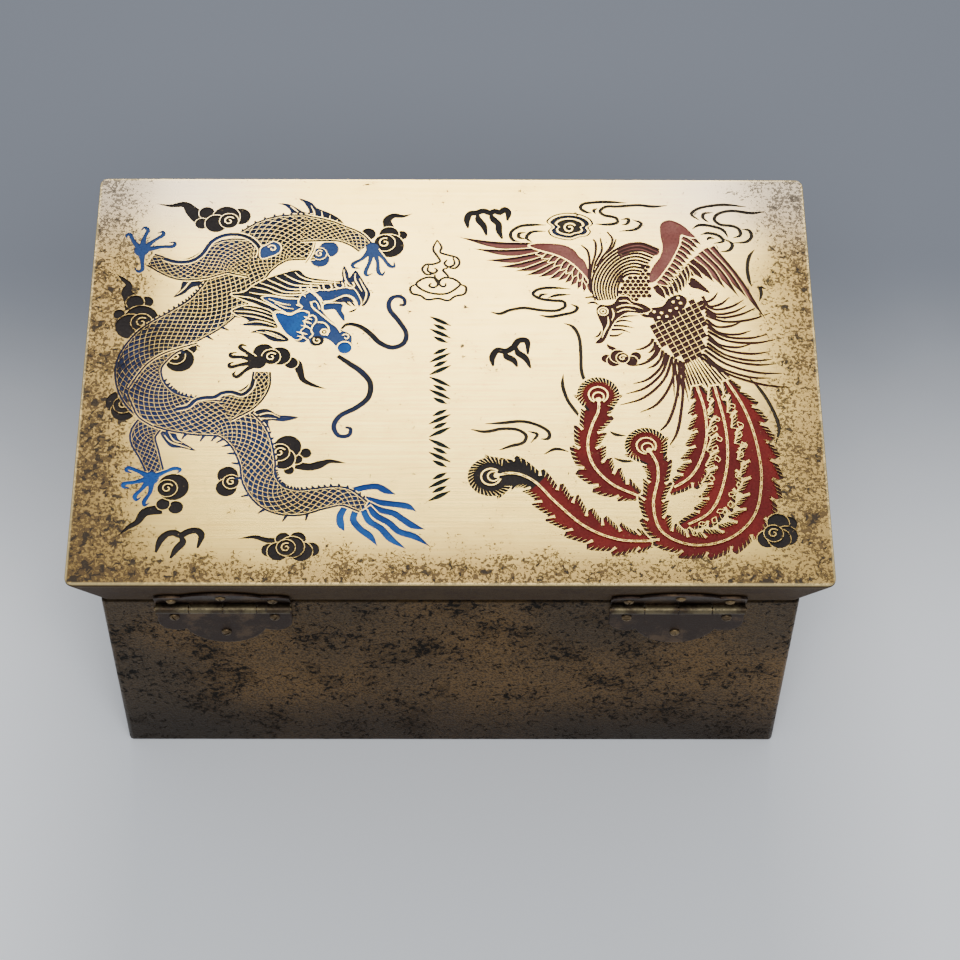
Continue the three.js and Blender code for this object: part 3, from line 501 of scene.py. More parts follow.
slope_top = lid_high.z - LIP
lid = block("lid_with_picture", (body_low.x, body_low.y, lid_low.z), (body_high.x, body_high.y, slope_top))
select_faces(lid, lambda face: face.normal.z > 0.9)
flare = (LID_SIZE.x / BODY_SIZE.x, LID_SIZE.y / BODY_SIZE.y, 1)
bpy.ops.transform.resize(value=flare, center_override=(0, 0, slope_top))
bpy.ops.mesh.extrude_region_move(TRANSFORM_OT_translate={"value": (0, 0, LIP)})
edit_done()
select_edges(lid, upright)
bpy.ops.mesh.bevel(offset=LID_CORNER, segments=5, affect="EDGES")
edit_done()
select_faces(lid, lambda face: face.normal.z < -0.9)
bpy.ops.mesh.delete(type="FACE")
edit_done()
finished_with(lid, "SOLIDIFY", thickness=SHEET, offset=-1, use_even_offset=True)
finished_with(lid, "BEVEL", width=EDGE_SOFTNESS, segments=2, limit_method="ANGLE",
              angle_limit=math.radians(40), harden_normals=False)
tops = [f for f in lid.data.polygons if f.normal.z > 0.9 and f.center.z > lid_high.z - 0.1 * MM]
plate = max(tops, key=lambda f: f.area)
PLATE_EDGE = [lid.data.vertices[i].co / MM for i in plate.vertices]
PLATE_TOP = PLATE_EDGE[0].z
select_faces(lid, lambda face: face.index == plate.index)
bpy.ops.mesh.delete(type="ONLY_FACE")
edit_done()
print("lid shell:", len(lid.data.polygons), "faces, plate edge of", len(PLATE_EDGE), "places")

# %% [markdown]
# ## Drawing with layers
# The picture is drawn as with cut paper. Each step is an outline with a colour, and a later step
# covers the earlier ones. "brass" is metal left standing, any other colour is a sunk fill. Sizes
# are millimetres from the middle of the lid. A line is a list of places, each with half of the
# line's width there, and a smooth curve runs through them.

# %% Lines, bands and outlines
TINY = 0.004
RIM = 0.42
AREA_RIM = 0.3
steps = []


def area(a, b, c):
    return abs((b[0] - a[0]) * (c[1] - a[1]) - (c[0] - a[0]) * (b[1] - a[1])) / 2


def fill(outline, paint):
    """One step of the drawing: a closed outline, its triangles and its colour."""
    flat = [Vector((p[0], p[1], 0)) for p in outline]
    corners = [flat[:3]] if len(flat) == 3 else [[flat[i] for i in t] for t in tessellate_polygon([flat])]
    corners = [t for t in corners if area(*t) > TINY]
    if corners:
        steps.append(([flat + flat[:1]], corners, paint))


def smooth(points, detail=4, closed=False):
    """Places on a smooth curve through the given ones."""
    given = [Vector((*p, 0)) if len(p) == 2 else Vector(p) for p in points]
    if closed:
        ring = given[-1:] + given + given[:2]
    else:
        ring = [2 * given[0] - given[1]] + given + [2 * given[-1] - given[-2]]
    places = []
    for corners in zip(ring, ring[1:], ring[2:], ring[3:]):
        knots = [0.0]
        for p, q in zip(corners, corners[1:]):
            knots.append(knots[-1] + max((q - p).length, 0.001) ** 0.5)
        for i in range(detail):
            t = knots[1] + (knots[2] - knots[1]) * i / detail
            row = corners
            for spans in (((0, 1), (1, 2), (2, 3)), ((0, 2), (1, 3)), ((1, 2),)):
                row = [p + (q - p) * ((t - knots[a]) / (knots[b] - knots[a]))
                       for p, q, (a, b) in zip(row, row[1:], spans)]
            places.append(row[0])
    if not closed:
        places.append(given[-1])
    return places


def spaced(line, step):
    """Places at equal steps along a line."""
    reach = [0.0]
    for p, q in zip(line, line[1:]):
        reach.append(reach[-1] + (q - p).to_2d().length)
    count = max(2, round(reach[-1] / step))
    places, k = [], 0
    for i in range(count + 1):
        goal = reach[-1] * i / count
        while k < len(line) - 2 and reach[k + 1] < goal:
            k += 1
        places.append(line[k].lerp(line[k + 1], (goal - reach[k]) / max(reach[k + 1] - reach[k], 1e-6)))
    return places


def normals(line):
    """The direction to the left of a line, at each of its places."""
    result = []
    for i in range(len(line)):
        way = (line[min(i + 1, len(line) - 1)] - line[max(i - 1, 0)]).to_2d().normalized()
        result.append(Vector((-way.y, way.x)))
    return result


def band(line, paint, extra=0.0):
    """Fills a line to its width."""
    if extra:
        first = line[0] + (line[0] - line[1]).normalized() * extra
        last = line[-1] + (line[-1] - line[-2]).normalized() * extra
        line = [first, *line[1:-1], last]
    out = [n.to_3d() * (p.z + extra) for p, n in zip(line, normals(line))]
    left = [Vector((p.x + o.x, p.y + o.y, 0)) for p, o in zip(line, out)]
    right = [Vector((p.x - o.x, p.y - o.y, 0)) for p, o in zip(line, out)]
    corners = []
    for a, b, c, d in zip(left, right, left[1:], right[1:]):
        corners += [t for t in ((a, b, d), (a, d, c)) if area(*t) > TINY / 4]
    steps.append(([left, right, [left[0], right[0]], [left[-1], right[-1]]], corners, paint))


def stroke(points, paint, detail=4, rim=0.0):
    """A drawn line, on a rim of standing metal if one is asked for."""
    line = smooth(points, detail)
    if rim:
        band(line, "brass", rim)
    band(line, paint)


def wire(points, half, paint, detail=4):
    """A line of even width."""
    stroke([(p[0], p[1], half) for p in points], paint, detail)


def tapered(points, half, paint, start=0.5, end=0.3, detail=4, rim=0.0):
    """A line that thins to a share of its width at both ends."""
    shares = [start] + [1] * (len(points) - 2) + [end]
    stroke([(*p, half * share) for p, share in zip(points, shares)], paint, detail, rim)


def shape(points, paint, detail=3, rim=0.0):
    """A smooth closed outline."""
    line = smooth(points, detail, closed=True)
    if rim:
        band([Vector((p.x, p.y, 0)) for p in line + line[:1]], "brass", rim)
    fill(line, paint)


def around(at, radius, angle):
    return (at[0] + radius * math.cos(angle), at[1] + radius * math.sin(angle))


def disc(at, radius, paint, sides=14):
    fill([around(at, radius, 2 * math.pi * i / sides) for i in range(sides)], paint)


def arc(at, radius, start, sweep, half, paint, inner=None, count=8):
    """Part of a circle, or of a swirl where the inner radius differs, as a line."""
    last = radius if inner is None else inner
    points = []
    for i in range(count + 1):
        share = i / count
        points.append((*around(at, radius + (last - radius) * share, start + sweep * share), half))
    band([Vector(p) for p in points], paint)


def fan(count, roots, tips, middles=None):
    """Lines of three places from a row of roots to a row of tips."""
    rows = [spaced(smooth(row, 6), 0.2) for row in (roots, middles or [], tips) if row]
    result = []
    for i in range(count):
        share = i / (count - 1)
        places = [row[round(share * (len(row) - 1))].to_2d() for row in rows]
        if not middles:
            places.insert(1, (places[0] + places[1]) / 2)
        result.append([tuple(p) for p in places])
    return result


def widths(points, halves):
    return [(*p, half) for p, half in zip(points, halves)]


print("drawing tools ready, rim of", RIM, "mm")

# %% [markdown]
# ### The dragon's scales
# Scales lie in rows that are shifted by half a scale, so each one is a small diamond and the metal
# between them reads as a net. Drawing them in the body's own directions, along and across, makes
# the net bend with the body. Diamonds that would stick out are cut off at the body's edge. A thin
# line follows both edges, small humps stand along the back and a few fins along the belly.

# %% Scaled bodies
SCALE_LONG = 2.2
SCALE_WIDE = 1.7
SCALE_FILL = 0.925
EDGE_LINE = 0.3
EDGE_GAP = 0.42
COVER = 1.0
LEG_SHARE = 0.85


def beside(line, side, off, half):
    """A thin line that follows one edge of a body."""
    return [Vector((*(p.to_2d() + n * side * (p.z + off)), half)) for p, n in zip(line, normals(line))]


def scales(points, paint, share=1.0):
    """A body that covers what lies behind it, outlined, under a net of scales."""
    line = smooth(points, 5)
    band([Vector((p.x, p.y, p.z + COVER)) for p in line], "brass")
    for side in (1, -1):
        band(beside(line, side, EDGE_GAP, EDGE_LINE), paint)
    wide = SCALE_WIDE * share
    rows = spaced(line, SCALE_LONG * share / 2)
    across = normals(rows)
    for i in range(len(rows)):
        reach = int(rows[i].z / wide) + 1
        for j in range(-reach, reach + 1):
            middle = (j + (i % 2) / 2) * wide
            corners = []
            for k, shift in ((max(i - 1, 0), 0), (i, -wide / 2), (min(i + 1, len(rows) - 1), 0),
                             (i, wide / 2)):
                where = rows[i].lerp(rows[k], SCALE_FILL)
                way = across[i].lerp(across[k], SCALE_FILL)
                off = middle + shift * SCALE_FILL
                corners.append(where.to_2d() + way * max(-where.z, min(where.z, off)))
            fill(corners, paint)


def fins(points, side, paint, pitch, size, lean):
    """Small humps or fins along one edge of a body."""
    rows = spaced(smooth(points, 5), pitch)
    for p, n in zip(rows[1:-1], normals(rows)[1:-1]):
        way = Vector((n.y, -n.x))
        root = p.to_2d() + n * side * (p.z + EDGE_GAP)
        top = root + n * side * size - way * lean
        fill([root + way * 0.5, top + way * 0.2, top - way * 0.2, root - way * 0.5], paint)


# %% [markdown]
# ### The dragon's body, legs and claws
# The body is one long line that swings down the left half of the lid. The four legs cover it, and
# each ends in a claw with hooked fingers. Every finger is a line of its own that starts in the palm.

# %% Dragon body
DRAGON_BODY = [
    (-38.6, 46.6, 7.4), (-49, 45.6, 7.6), (-56.4, 39.4, 7.4), (-60.6, 30, 6.8), (-67, 20.5, 6.3),
    (-74, 15, 6), (-81, 9.5, 6), (-85, 2, 5.8), (-83.5, -6, 5.8), (-78, -12, 5.6), (-69, -14.8, 5.4),
    (-60, -16, 5.2), (-54.5, -21, 5), (-51.6, -29, 4.3), (-50.8, -35, 4), (-47, -40.5, 3.9),
    (-41, -42.3, 3.6), (-34, -40.9, 2.9), (-28.5, -40.3, 2.4), (-23, -43.5, 1.4),
]
LEG_FRONT_LEFT = [(-56, 39, 6), (-63, 39.5, 5.4), (-70, 35.8, 3.8), (-76, 34.8, 2.8), (-84, 38.3, 1.7)]
LEG_FRONT_RIGHT = [(-41.6, 49.6, 4.2), (-35, 48.8, 3.2), (-30.6, 47.6, 2.3), (-27, 45.8, 2.2),
                   (-24.2, 43, 1.8)]
LEG_BACK_RIGHT = [(-61, -12, 4), (-55, -9, 3), (-51.8, -4.5, 2.2), (-51.5, 0, 1.8)]
LEG_BACK_LEFT = [(-80, -16, 3), (-82.5, -21, 3), (-80.5, -27, 2.3), (-78.3, -33, 1.7)]
BELLY_LINES = [
    [(-69.5, 9.6), (-74, 8), (-78.6, 6), (-82.4, 3), (-84.8, -0.6), (-87.2, -5.4)],
    [(-87.4, -7.6), (-86, -11), (-84, -15), (-80, -18)],
]
SHOULDER = [(-80.5, 38.8), (-77, 37.6), (-73, 37.8), (-70, 40), (-67.5, 44.5), (-64.5, 46.8), (-60, 47.3),
            (-56, 45.5), (-53.6, 42), (-54, 39)]
HAUNCH = [(-74, -12.4), (-71, -11.6), (-69, -9.4), (-66.6, -8.6), (-64, -8.4), (-61.6, -6.9), (-59, -6.8),
          (-56.6, -7.6), (-54.4, -5.6), (-53.6, -2.4)]
TORSO_END = [(-38.6, 47.4), (-38.3, 44), (-39.2, 40.4), (-40.8, 37.2)]


SMALL_FINS = 1.5, 1.0, 0.2
LARGE_FINS = 4.4, 2.1, 0.7
BELLY_WIDTHS = 0.55, 0.26
TORSO_WIDTHS = 0.5, 0.16
LIMB_WIDTHS = 0.9, 0.58


def lined(line, outer, inner):
    """A line of colour with metal on both sides."""
    wire(line, outer, "brass")
    wire(line, inner, "slate")


def dragon_body():
    scales(LEG_BACK_LEFT, "slate", LEG_SHARE)
    scales(DRAGON_BODY, "slate")
    for first, last, side in ((0, 3, -1), (2, 7, -1), (8, 20, 1)):
        fins(DRAGON_BODY[first:last], side, "slate", *SMALL_FINS)
    for first, last, side in ((3, 7, 1), (9, 18, -1)):
        fins(DRAGON_BODY[first:last], side, "slate", *LARGE_FINS)
    for line in BELLY_LINES:
        lined(line, *BELLY_WIDTHS)
    lined(TORSO_END, *TORSO_WIDTHS)
    for leg in (LEG_FRONT_RIGHT, LEG_FRONT_LEFT, LEG_BACK_RIGHT):
        scales(leg, "slate", LEG_SHARE)
    for line in (SHOULDER, HAUNCH):
        lined(line, *LIMB_WIDTHS)
    shape([(-53.4, 42.4), (-51.6, 43.8), (-49.8, 44.8), (-48, 43.4), (-48.2, 41.2), (-50.6, 39.6),
           (-53.2, 39)],
          "steel", 3, AREA_RIM)
    arc((-50.2, 42.4), 1.3, 2.8, -6.4, 0.18, "brass", 0.3, 12)


# %% Dragon claws
CLAWS = [
    ("steel", (-86.8, 41.6), 2.1, [
        [(-89.4, 45.2), (-90.4, 47.3), (-91.3, 47), (-91.2, 45.8)],
        [(-86.2, 46.4), (-85.4, 48.8), (-86.4, 49.8), (-87.4, 48.7)],
        [(-83.4, 45.2), (-81, 47.2), (-81.2, 48.2), (-82.7, 47.7)],
        [(-81.2, 42.9), (-77.9, 43.2), (-77.6, 44.3), (-79.2, 44.5)],
        [(-86.3, 37), (-86.2, 34.8), (-87.2, 34.1), (-88.4, 35.5)]]),
    ("steel", (-22.2, 42.8), 1.9, [
        [(-25, 38.8), (-27.6, 36.9), (-27.4, 35.8), (-25.6, 35.5)],
        [(-22.9, 37.6), (-24, 34), (-23.6, 33), (-22, 33.7)],
        [(-20.7, 38), (-20.3, 34), (-19.3, 33.2), (-18.5, 34.6)],
        [(-19.2, 39.2), (-17.1, 36.2), (-16, 36.1), (-16.1, 37.8)]]),
    ("black", (-52.6, 3.2), 2.2, [
        [(-56, 6.6), (-57.8, 8.2), (-57.3, 9), (-55.9, 8.6)],
        [(-57, 4.9), (-60, 5.1), (-60.3, 6), (-58.4, 6.5)],
        [(-57.2, 2.4), (-60.1, 1.6), (-60.5, 2.5), (-59.2, 3.3)],
        [(-56, 0.4), (-58.2, -1.7), (-59.2, -1), (-58.6, 0.3)]]),
    ("blue", (-79.4, -34.6), 2.1, [
        [(-83, -32.4), (-85.8, -31.4), (-86.2, -32.2), (-84.6, -33)],
        [(-83.6, -35.9), (-86.6, -36.5), (-86.6, -37.4), (-85, -37.7)],
        [(-81.8, -38.2), (-83.4, -40.4), (-82.9, -41.5), (-81.7, -40.6)],
        [(-79.4, -39), (-80.8, -42), (-80.6, -43.2), (-79.4, -42.4)],
        [(-76, -32.7), (-73.2, -31.5), (-71.8, -32), (-72.6, -33.1)]]),
]
FINGER = (1.2, 0.55, 0.6, 0.45, 0.1)


def claws():
    for paint, palm, radius, fingers in CLAWS:
        lines = [widths([palm, *finger], FINGER) for finger in fingers]
        for line in lines:
            band(smooth(line, 4), "brass", AREA_RIM)
        for line in lines:
            stroke(line, paint)
        disc(palm, radius, paint, 16)


# %% [markdown]
# ### The dragon's head
# The head is the busiest part. Dark areas come first: locks of mane, horn, ear, snout and a bright
# blue cheek. Fine lines of standing metal then draw the hair, the teeth and the eye on them, and
# two whiskers run far out.

# %% Dragon head
HEAD_AREAS = [
    ("slate", [(-61, 26.4), (-57.6, 27), (-55, 29.4), (-51, 32), (-46, 34), (-42.6, 34.8), (-40.4, 32.6),
               (-36, 31.6),
               (-30.4, 31.2), (-30.6, 33.6), (-30, 36.4), (-28.8, 34), (-28.4, 32.2), (-26.8, 34.8),
               (-25.4, 32.8),
               (-24, 30), (-22.5, 27), (-22.8, 24.6), (-24.4, 22.2), (-25.6, 23.4), (-30, 23.6), (-37, 22),
               (-44, 19.6), (-50, 20.4), (-56, 23.6)]),
    ("slate", [(-60.6, 20.6), (-57, 22.4), (-53.6, 22), (-50, 20.6), (-47.6, 17), (-48, 14.8), (-52, 15.4),
               (-57.6, 15.8),
               (-55.8, 17.2), (-58.8, 19)]),
    ("slate", [(-55.2, 13.2), (-52.4, 14.4), (-50, 14.2), (-47, 13.2), (-44.4, 10.6), (-46.6, 10),
               (-49.4, 10.5),
               (-51.4, 12), (-53, 13)]),
    ("steel", [(-52.4, 25.2), (-50, 25.6), (-46, 24.8), (-42.4, 24.5), (-41.5, 23.6), (-43, 22.7),
               (-41.3, 21.8),
               (-42.8, 20.6), (-44.4, 19.7), (-46.4, 20.7), (-49.2, 22.8)]),
    ("steel", [(-39.8, 28.2), (-36.4, 27.7), (-33, 27.9), (-30, 28.6), (-27.4, 28.4), (-25.8, 26),
               (-25, 23.2), (-25.9, 21.7),
               (-26.7, 24), (-28, 25.6), (-29.6, 26), (-31.4, 25.2), (-33, 24.2), (-35.4, 23.8), (-36, 25),
               (-37.6, 26.6)]),
    ("steel", [(-42, 24.6), (-41.2, 26.6), (-39.8, 27.7), (-37.4, 26.2), (-36.2, 23.6), (-35.7, 21),
               (-34, 18.3), (-32, 16.2),
               (-30.4, 14.2), (-28.4, 13.2), (-27.3, 11.9), (-27.3, 10), (-26.9, 8.2), (-27.7, 6.4),
               (-29.3, 5.7),
               (-30.8, 6.5), (-31.6, 8.6), (-32.6, 9.9), (-34.4, 11.2), (-35.4, 10.8), (-36, 9.2),
               (-37.4, 8.7),
               (-38.7, 9.6), (-39.2, 11), (-40.4, 9.8), (-42.8, 10.4), (-45.4, 12.7), (-47.4, 15.6),
               (-48.9, 18.8),
               (-48.8, 20.2), (-46.6, 20.2), (-44.4, 19.6), (-42.4, 20.7), (-41, 22), (-42.2, 23.4)]),
    ("blue", [(-48.5, 19.7), (-46.6, 19.9), (-44.4, 19.3), (-42.6, 20.3), (-41, 20.6), (-39.4, 20),
              (-39.6, 18.4), (-40.7, 17.2),
              (-40.3, 15.4), (-41.5, 13.8), (-40.8, 11.9), (-42.2, 10.8), (-43.6, 11.3), (-45.4, 13.1),
              (-47, 15.8)]),
    ("steel", [(-35.2, 22.9), (-32.6, 23.4), (-30, 22.9), (-30.3, 20.8), (-29.5, 19.2), (-29.5, 17),
               (-31.2, 19.4),
               (-32.4, 21.2), (-35.2, 20.9)]),
]
HAIR = [
    [(-55.4, 29), (-51.4, 28), (-48, 26.4), (-44, 26), (-41, 26.2), (-40.4, 25.4)],
    [(-53.4, 30.4), (-49.6, 28.8), (-46.6, 27.3), (-43, 27), (-40.4, 27.3)],
    [(-51.2, 31.5), (-48, 29.8), (-45, 28.3), (-41.6, 28.1), (-39.2, 28.4)],
    [(-49, 32.4), (-46.4, 30.8), (-43.4, 29.5), (-39.6, 29.3), (-36.8, 29.2)],
    [(-46.6, 33.3), (-44, 31.6), (-41, 30.4), (-37, 30.1), (-33, 30)],
    [(-43.6, 34), (-41.6, 32.2), (-38, 31), (-34, 30.7), (-31, 30.3)],
    [(-60, 25.8), (-56, 25.2), (-52.4, 23.8), (-48, 21.4), (-45.6, 20.2)],
    [(-58.4, 24.6), (-54.4, 22.9), (-50.6, 21)],
    [(-56, 27), (-53.2, 26.4), (-50, 26), (-46, 25.2), (-42, 24.9)],
    [(-60, 20.5), (-56, 20.3), (-52, 19.3), (-48.8, 17.8)],
    [(-58.6, 19.2), (-55, 18.7), (-51.6, 17.7), (-48.4, 16.4)],
    [(-57.4, 21.9), (-53, 20.9), (-49.4, 19.4)], [(-56.8, 16.4), (-53.6, 17), (-50.4, 16.3), (-48.2, 15.3)],
    [(-53.6, 13.5), (-50.6, 12.9), (-48, 11.7), (-45.6, 10.9)], [(-51, 13.6), (-48.4, 12.6), (-46.2, 11.4)],
    [(-50.6, 24.8), (-47.4, 23.3), (-44.4, 22.6)], [(-48.8, 23.4), (-46, 21.8), (-43.6, 21.3)],
    [(-30, 35), (-29.7, 32.4), (-28.8, 30.2), (-27.4, 29)],
    [(-26.8, 33.6), (-26.8, 31.6), (-25.8, 29.4), (-24.8, 27.4)],
    [(-25.6, 31.8), (-24.6, 29.4), (-23.6, 27), (-23.9, 24.6), (-24.6, 23)],
]
FACE_LINES = [
    (0.26, [(-48.9, 19.3), (-47.9, 16.4), (-46.4, 13.8), (-44.4, 11.8), (-42.9, 10.5)]),
    (0.2, [(-47, 20.1), (-44.4, 19.3), (-42.7, 20.3), (-41, 20.7), (-39.2, 20)]),
    (0.2, [(-39.2, 18.8), (-38.2, 19.1), (-37.3, 18.2), (-37.3, 16.9), (-38.1, 15.6), (-38.5, 14),
           (-38, 12.7), (-38.9, 11.4)]),
    (0.2, [(-36.8, 16.8), (-35.2, 16.6), (-34, 15.4), (-33.6, 13.8), (-34.2, 12.2)]),
    (0.24, [(-38.9, 23.8), (-38.4, 22), (-36.8, 20.3), (-34.8, 18.4), (-33, 16.6), (-31.4, 15.2),
            (-30.4, 13.4)]),
    (0.22, [(-40, 27.9), (-37.8, 26.2), (-36.5, 24.4), (-35.7, 22.4), (-35.6, 20.7)]),
    (0.17, [(-38.9, 23.6), (-37.6, 23.9), (-36.9, 22.8), (-36.3, 21.2)]),
    (0.22, [(-35.3, 23.8), (-33, 24.2), (-31.2, 25.2), (-29.4, 26), (-27.6, 25.5), (-26.5, 24),
            (-25.8, 21.9)]),
]
TEETH = [
    [(-41, 17.3), (-39.8, 16.9), (-38.4, 16.2)], [(-41.3, 15.7), (-39.8, 15.3), (-38.5, 14.4)],
    [(-42.5, 13.5), (-41, 13.1), (-39.4, 12.6)], [(-42.3, 12.1), (-40.8, 11.7), (-39.4, 10.8)],
    [(-40.7, 18.8), (-39.4, 18.1), (-38.3, 17.6)],
]
LOOPS = [(-40.5, 27.6), (-37.6, 28.3), (-34.2, 28.7), (-31, 29.4), (-28, 29.4)]
JAW_MARKS = [[(-29.8, 24.4), (-28.8, 23.2), (-27.7, 22.3)], [(-28.5, 24.7), (-27.4, 23.3), (-26.6, 22.2)],
             [(-28.3, 20.3), (-27.1, 20.7), (-26.2, 21.5)]]
WHISKERS = [
    [(-30.2, 14.5, 0.3), (-29, 15.9, 0.5), (-27.2, 16.1, 0.6), (-24.6, 15, 0.7), (-22, 12.6, 0.8),
     (-19.6, 9.8, 0.8),
     (-16, 8.2, 0.8), (-13, 9.8, 0.75), (-12.4, 13, 0.7), (-14.6, 17.4, 0.75), (-17, 21, 0.75),
     (-17.3, 23.5, 0.7),
     (-16.2, 25.4, 0.65), (-14.4, 25.7, 0.6), (-13, 24.6, 0.55), (-13.1, 22.8, 0.5), (-14.4, 22.8, 0.4)],
    [(-31, 5.4, 0.6), (-28, 3, 0.8), (-24.6, 0.2, 0.9), (-22, -3.6, 0.8), (-22.4, -8.4, 0.8),
     (-25.6, -11.8, 0.8),
     (-30, -14.6, 0.75), (-31.5, -18, 0.7), (-30, -21, 0.65), (-27.4, -20.8, 0.6), (-27, -18.7, 0.5),
     (-28.4, -18.2, 0.35)],
]


def swirl(at, radius, start, turns, half=0.18):
    """A spiral of standing metal."""
    arc(at, radius, start, turns, half, "brass", radius * 0.2, 14)


HEAD_HAIR, TOOTH, LOOP_WIRE, JAW_MARK = 0.19, 0.26, 0.2, 0.32
NOSE_CURL, CHEEK_CURL = (-36.7, 10.6), (-28.9, 11.7)
DRAGON_EYE, CHEEK = (-34.9, 13.5), (-29.2, 8.1)
NOSE_RADIUS, CURL_RADIUS = 1.85, 1.15


def head():
    for line in WHISKERS:
        stroke(line, "slate", 5, AREA_RIM)
    for paint, outline in HEAD_AREAS:
        shape(outline, paint, 3, AREA_RIM)
    for line in HAIR:
        tapered(line, HEAD_HAIR, "brass")
    for half, line in FACE_LINES:
        wire(line, half, "brass")
    for line in TEETH:
        tapered(line, TOOTH, "brass", 0.2)
    for x, y in LOOPS:
        wire([(x - 1.5, y + 1.5), (x - 1.1, y - 0.3), (x + 0.1, y - 0.9), (x + 1, y), (x + 0.5, y + 1.2)],
             LOOP_WIRE, "brass")
    for line in JAW_MARKS:
        tapered(line, JAW_MARK, "slate", 0.5, 0.4)
    disc(NOSE_CURL, NOSE_RADIUS, "slate")
    swirl(NOSE_CURL, CURL_RADIUS, 2.4, 6.2)
    for radius, paint, sides in ((1.15, "brass", 14), (0.72, "slate", 10), (0.3, "brass", 8)):
        disc(DRAGON_EYE, radius, paint, sides)
    for radius, paint in ((2.3, "brass"), (1.95, "blue")):
        disc(CHEEK, radius, paint, 18)
    swirl(CHEEK_CURL, CURL_RADIUS, 2.6, -5.6)


# %% Dragon tail and tufts
TAIL = [
    [(-26, -38.4), (-22.4, -37.4), (-19.5, -37.2), (-17.2, -38.5), (-14.5, -39.7)],
    [(-22.6, -41), (-18, -42.3), (-14.4, -42.8), (-11.4, -43.4), (-9, -45)],
    [(-22, -42.6), (-18.4, -44.6), (-15, -45.6), (-12.4, -47.6), (-10, -49.4), (-6.7, -50.6)],
    [(-21.8, -43.6), (-19.5, -46.4), (-16.4, -48.4), (-13.6, -51.2), (-9.6, -52.7), (-5.4, -55.8)],
    [(-23, -44.6), (-21.4, -48), (-18.4, -50.2), (-15.6, -53.6), (-11.6, -56.6)],
    [(-25, -44.6), (-25.6, -47.6), (-23.6, -50.6), (-21.2, -52.6), (-19.1, -55.8)],
    [(-28, -43.8), (-29.1, -46.6), (-28.8, -49.2), (-27.8, -51.2)],
]
FIN_AREAS = [
    [(-43.3, 60.4), (-41, 59.6), (-39.4, 58.6), (-38.2, 57), (-35, 55.4), (-32, 53.4), (-30.2, 51),
     (-29.6, 49.2),
     (-33, 49), (-37, 50), (-40.2, 51.4), (-40.6, 54.4), (-41.2, 57.6)],
    [(-49.3, 58.5), (-46.4, 58.4), (-44.2, 57.2), (-42.4, 55.8), (-40.6, 55), (-44.9, 54.6), (-46, 56.5),
     (-47.4, 57.8)],
    [(-72.4, 32), (-74.8, 30.6), (-75.2, 28), (-77, 25.2), (-73.8, 26.6), (-72, 28.6), (-69.8, 29),
     (-70.2, 26.2),
     (-69.2, 22.8), (-67.6, 26.4), (-64, 28.6), (-62.4, 32), (-62, 36), (-65, 35), (-68, 32.6)],
    [(-78, -19.4), (-76.6, -22.6), (-74.6, -24.8), (-72, -25), (-68, -25.9), (-70.4, -24), (-73, -22),
     (-74, -19.6)],
    [(-60.4, -15.6), (-56, -15.4), (-52, -12.6), (-49.4, -12.3), (-46.6, -14.2), (-44, -14.4), (-41, -15),
     (-45, -16.4),
     (-49, -16.2), (-48.4, -19.6), (-51.4, -16.8), (-53, -19.4), (-57.6, -18.8), (-60, -17.4)],
]
FIN_HAIR = [
    [(-40.4, 52.6), (-40.6, 56), (-42.4, 59.6)], [(-39, 51.4), (-38.8, 55), (-39.8, 57.8)],
    [(-37.6, 50.8), (-36.6, 53.4), (-36.8, 55.8)],
    [(-36, 50.4), (-34.6, 52.4), (-34.4, 54.4)], [(-34.4, 50), (-32.8, 51.4), (-32.2, 52.8)],
    [(-45.6, 57.6), (-44.4, 56.4), (-43.4, 55.4)],
    [(-76, 26.2), (-74, 28.4), (-72.4, 30.8), (-68.6, 31)],
    [(-69.4, 25), (-68.4, 28.4), (-65.4, 30), (-64, 33)],
    [(-68.8, 27.4), (-67, 30.4), (-65.6, 33.6)], [(-68, 25.8), (-65.4, 28.6), (-63.2, 31.6), (-62.8, 35)],
    [(-77, -20.4), (-75, -23), (-72, -24.2), (-69.4, -25.2)], [(-75.6, -20), (-74, -22.6), (-71.6, -23.4)],
    [(-59, -16.4), (-55.6, -16.6), (-52, -14.4), (-49, -13.6), (-46, -15)],
    [(-58.4, -17.6), (-55, -17.8), (-51.6, -15.6), (-47, -15.4)],
]


TAIL_ROOT, TAIL_BALL = (-22, -43.2), 2.9
TAIL_LOCK, LOCK_RIM = 0.95, 0.28
FIN_LINE = 0.2


def tail():
    disc(TAIL_ROOT, TAIL_BALL, "blue")
    for lock in TAIL:
        tapered(lock, TAIL_LOCK, "blue", 0.9, 0, 4, LOCK_RIM)


def tufts():
    for outline in FIN_AREAS:
        shape(outline, "slate", 3, AREA_RIM)
    for line in FIN_HAIR:
        tapered(line, FIN_LINE, "brass")


# %% [markdown]
# ### Clouds, flames and wind
# Each cloud is a round core with a swirl, lobes behind it, and often a tail that flies off. Only thin
# lines of metal part its lobes. Short flame marks and loose wind lines fill the ground between the
# figures, and one tall cloud is drawn in lines only.

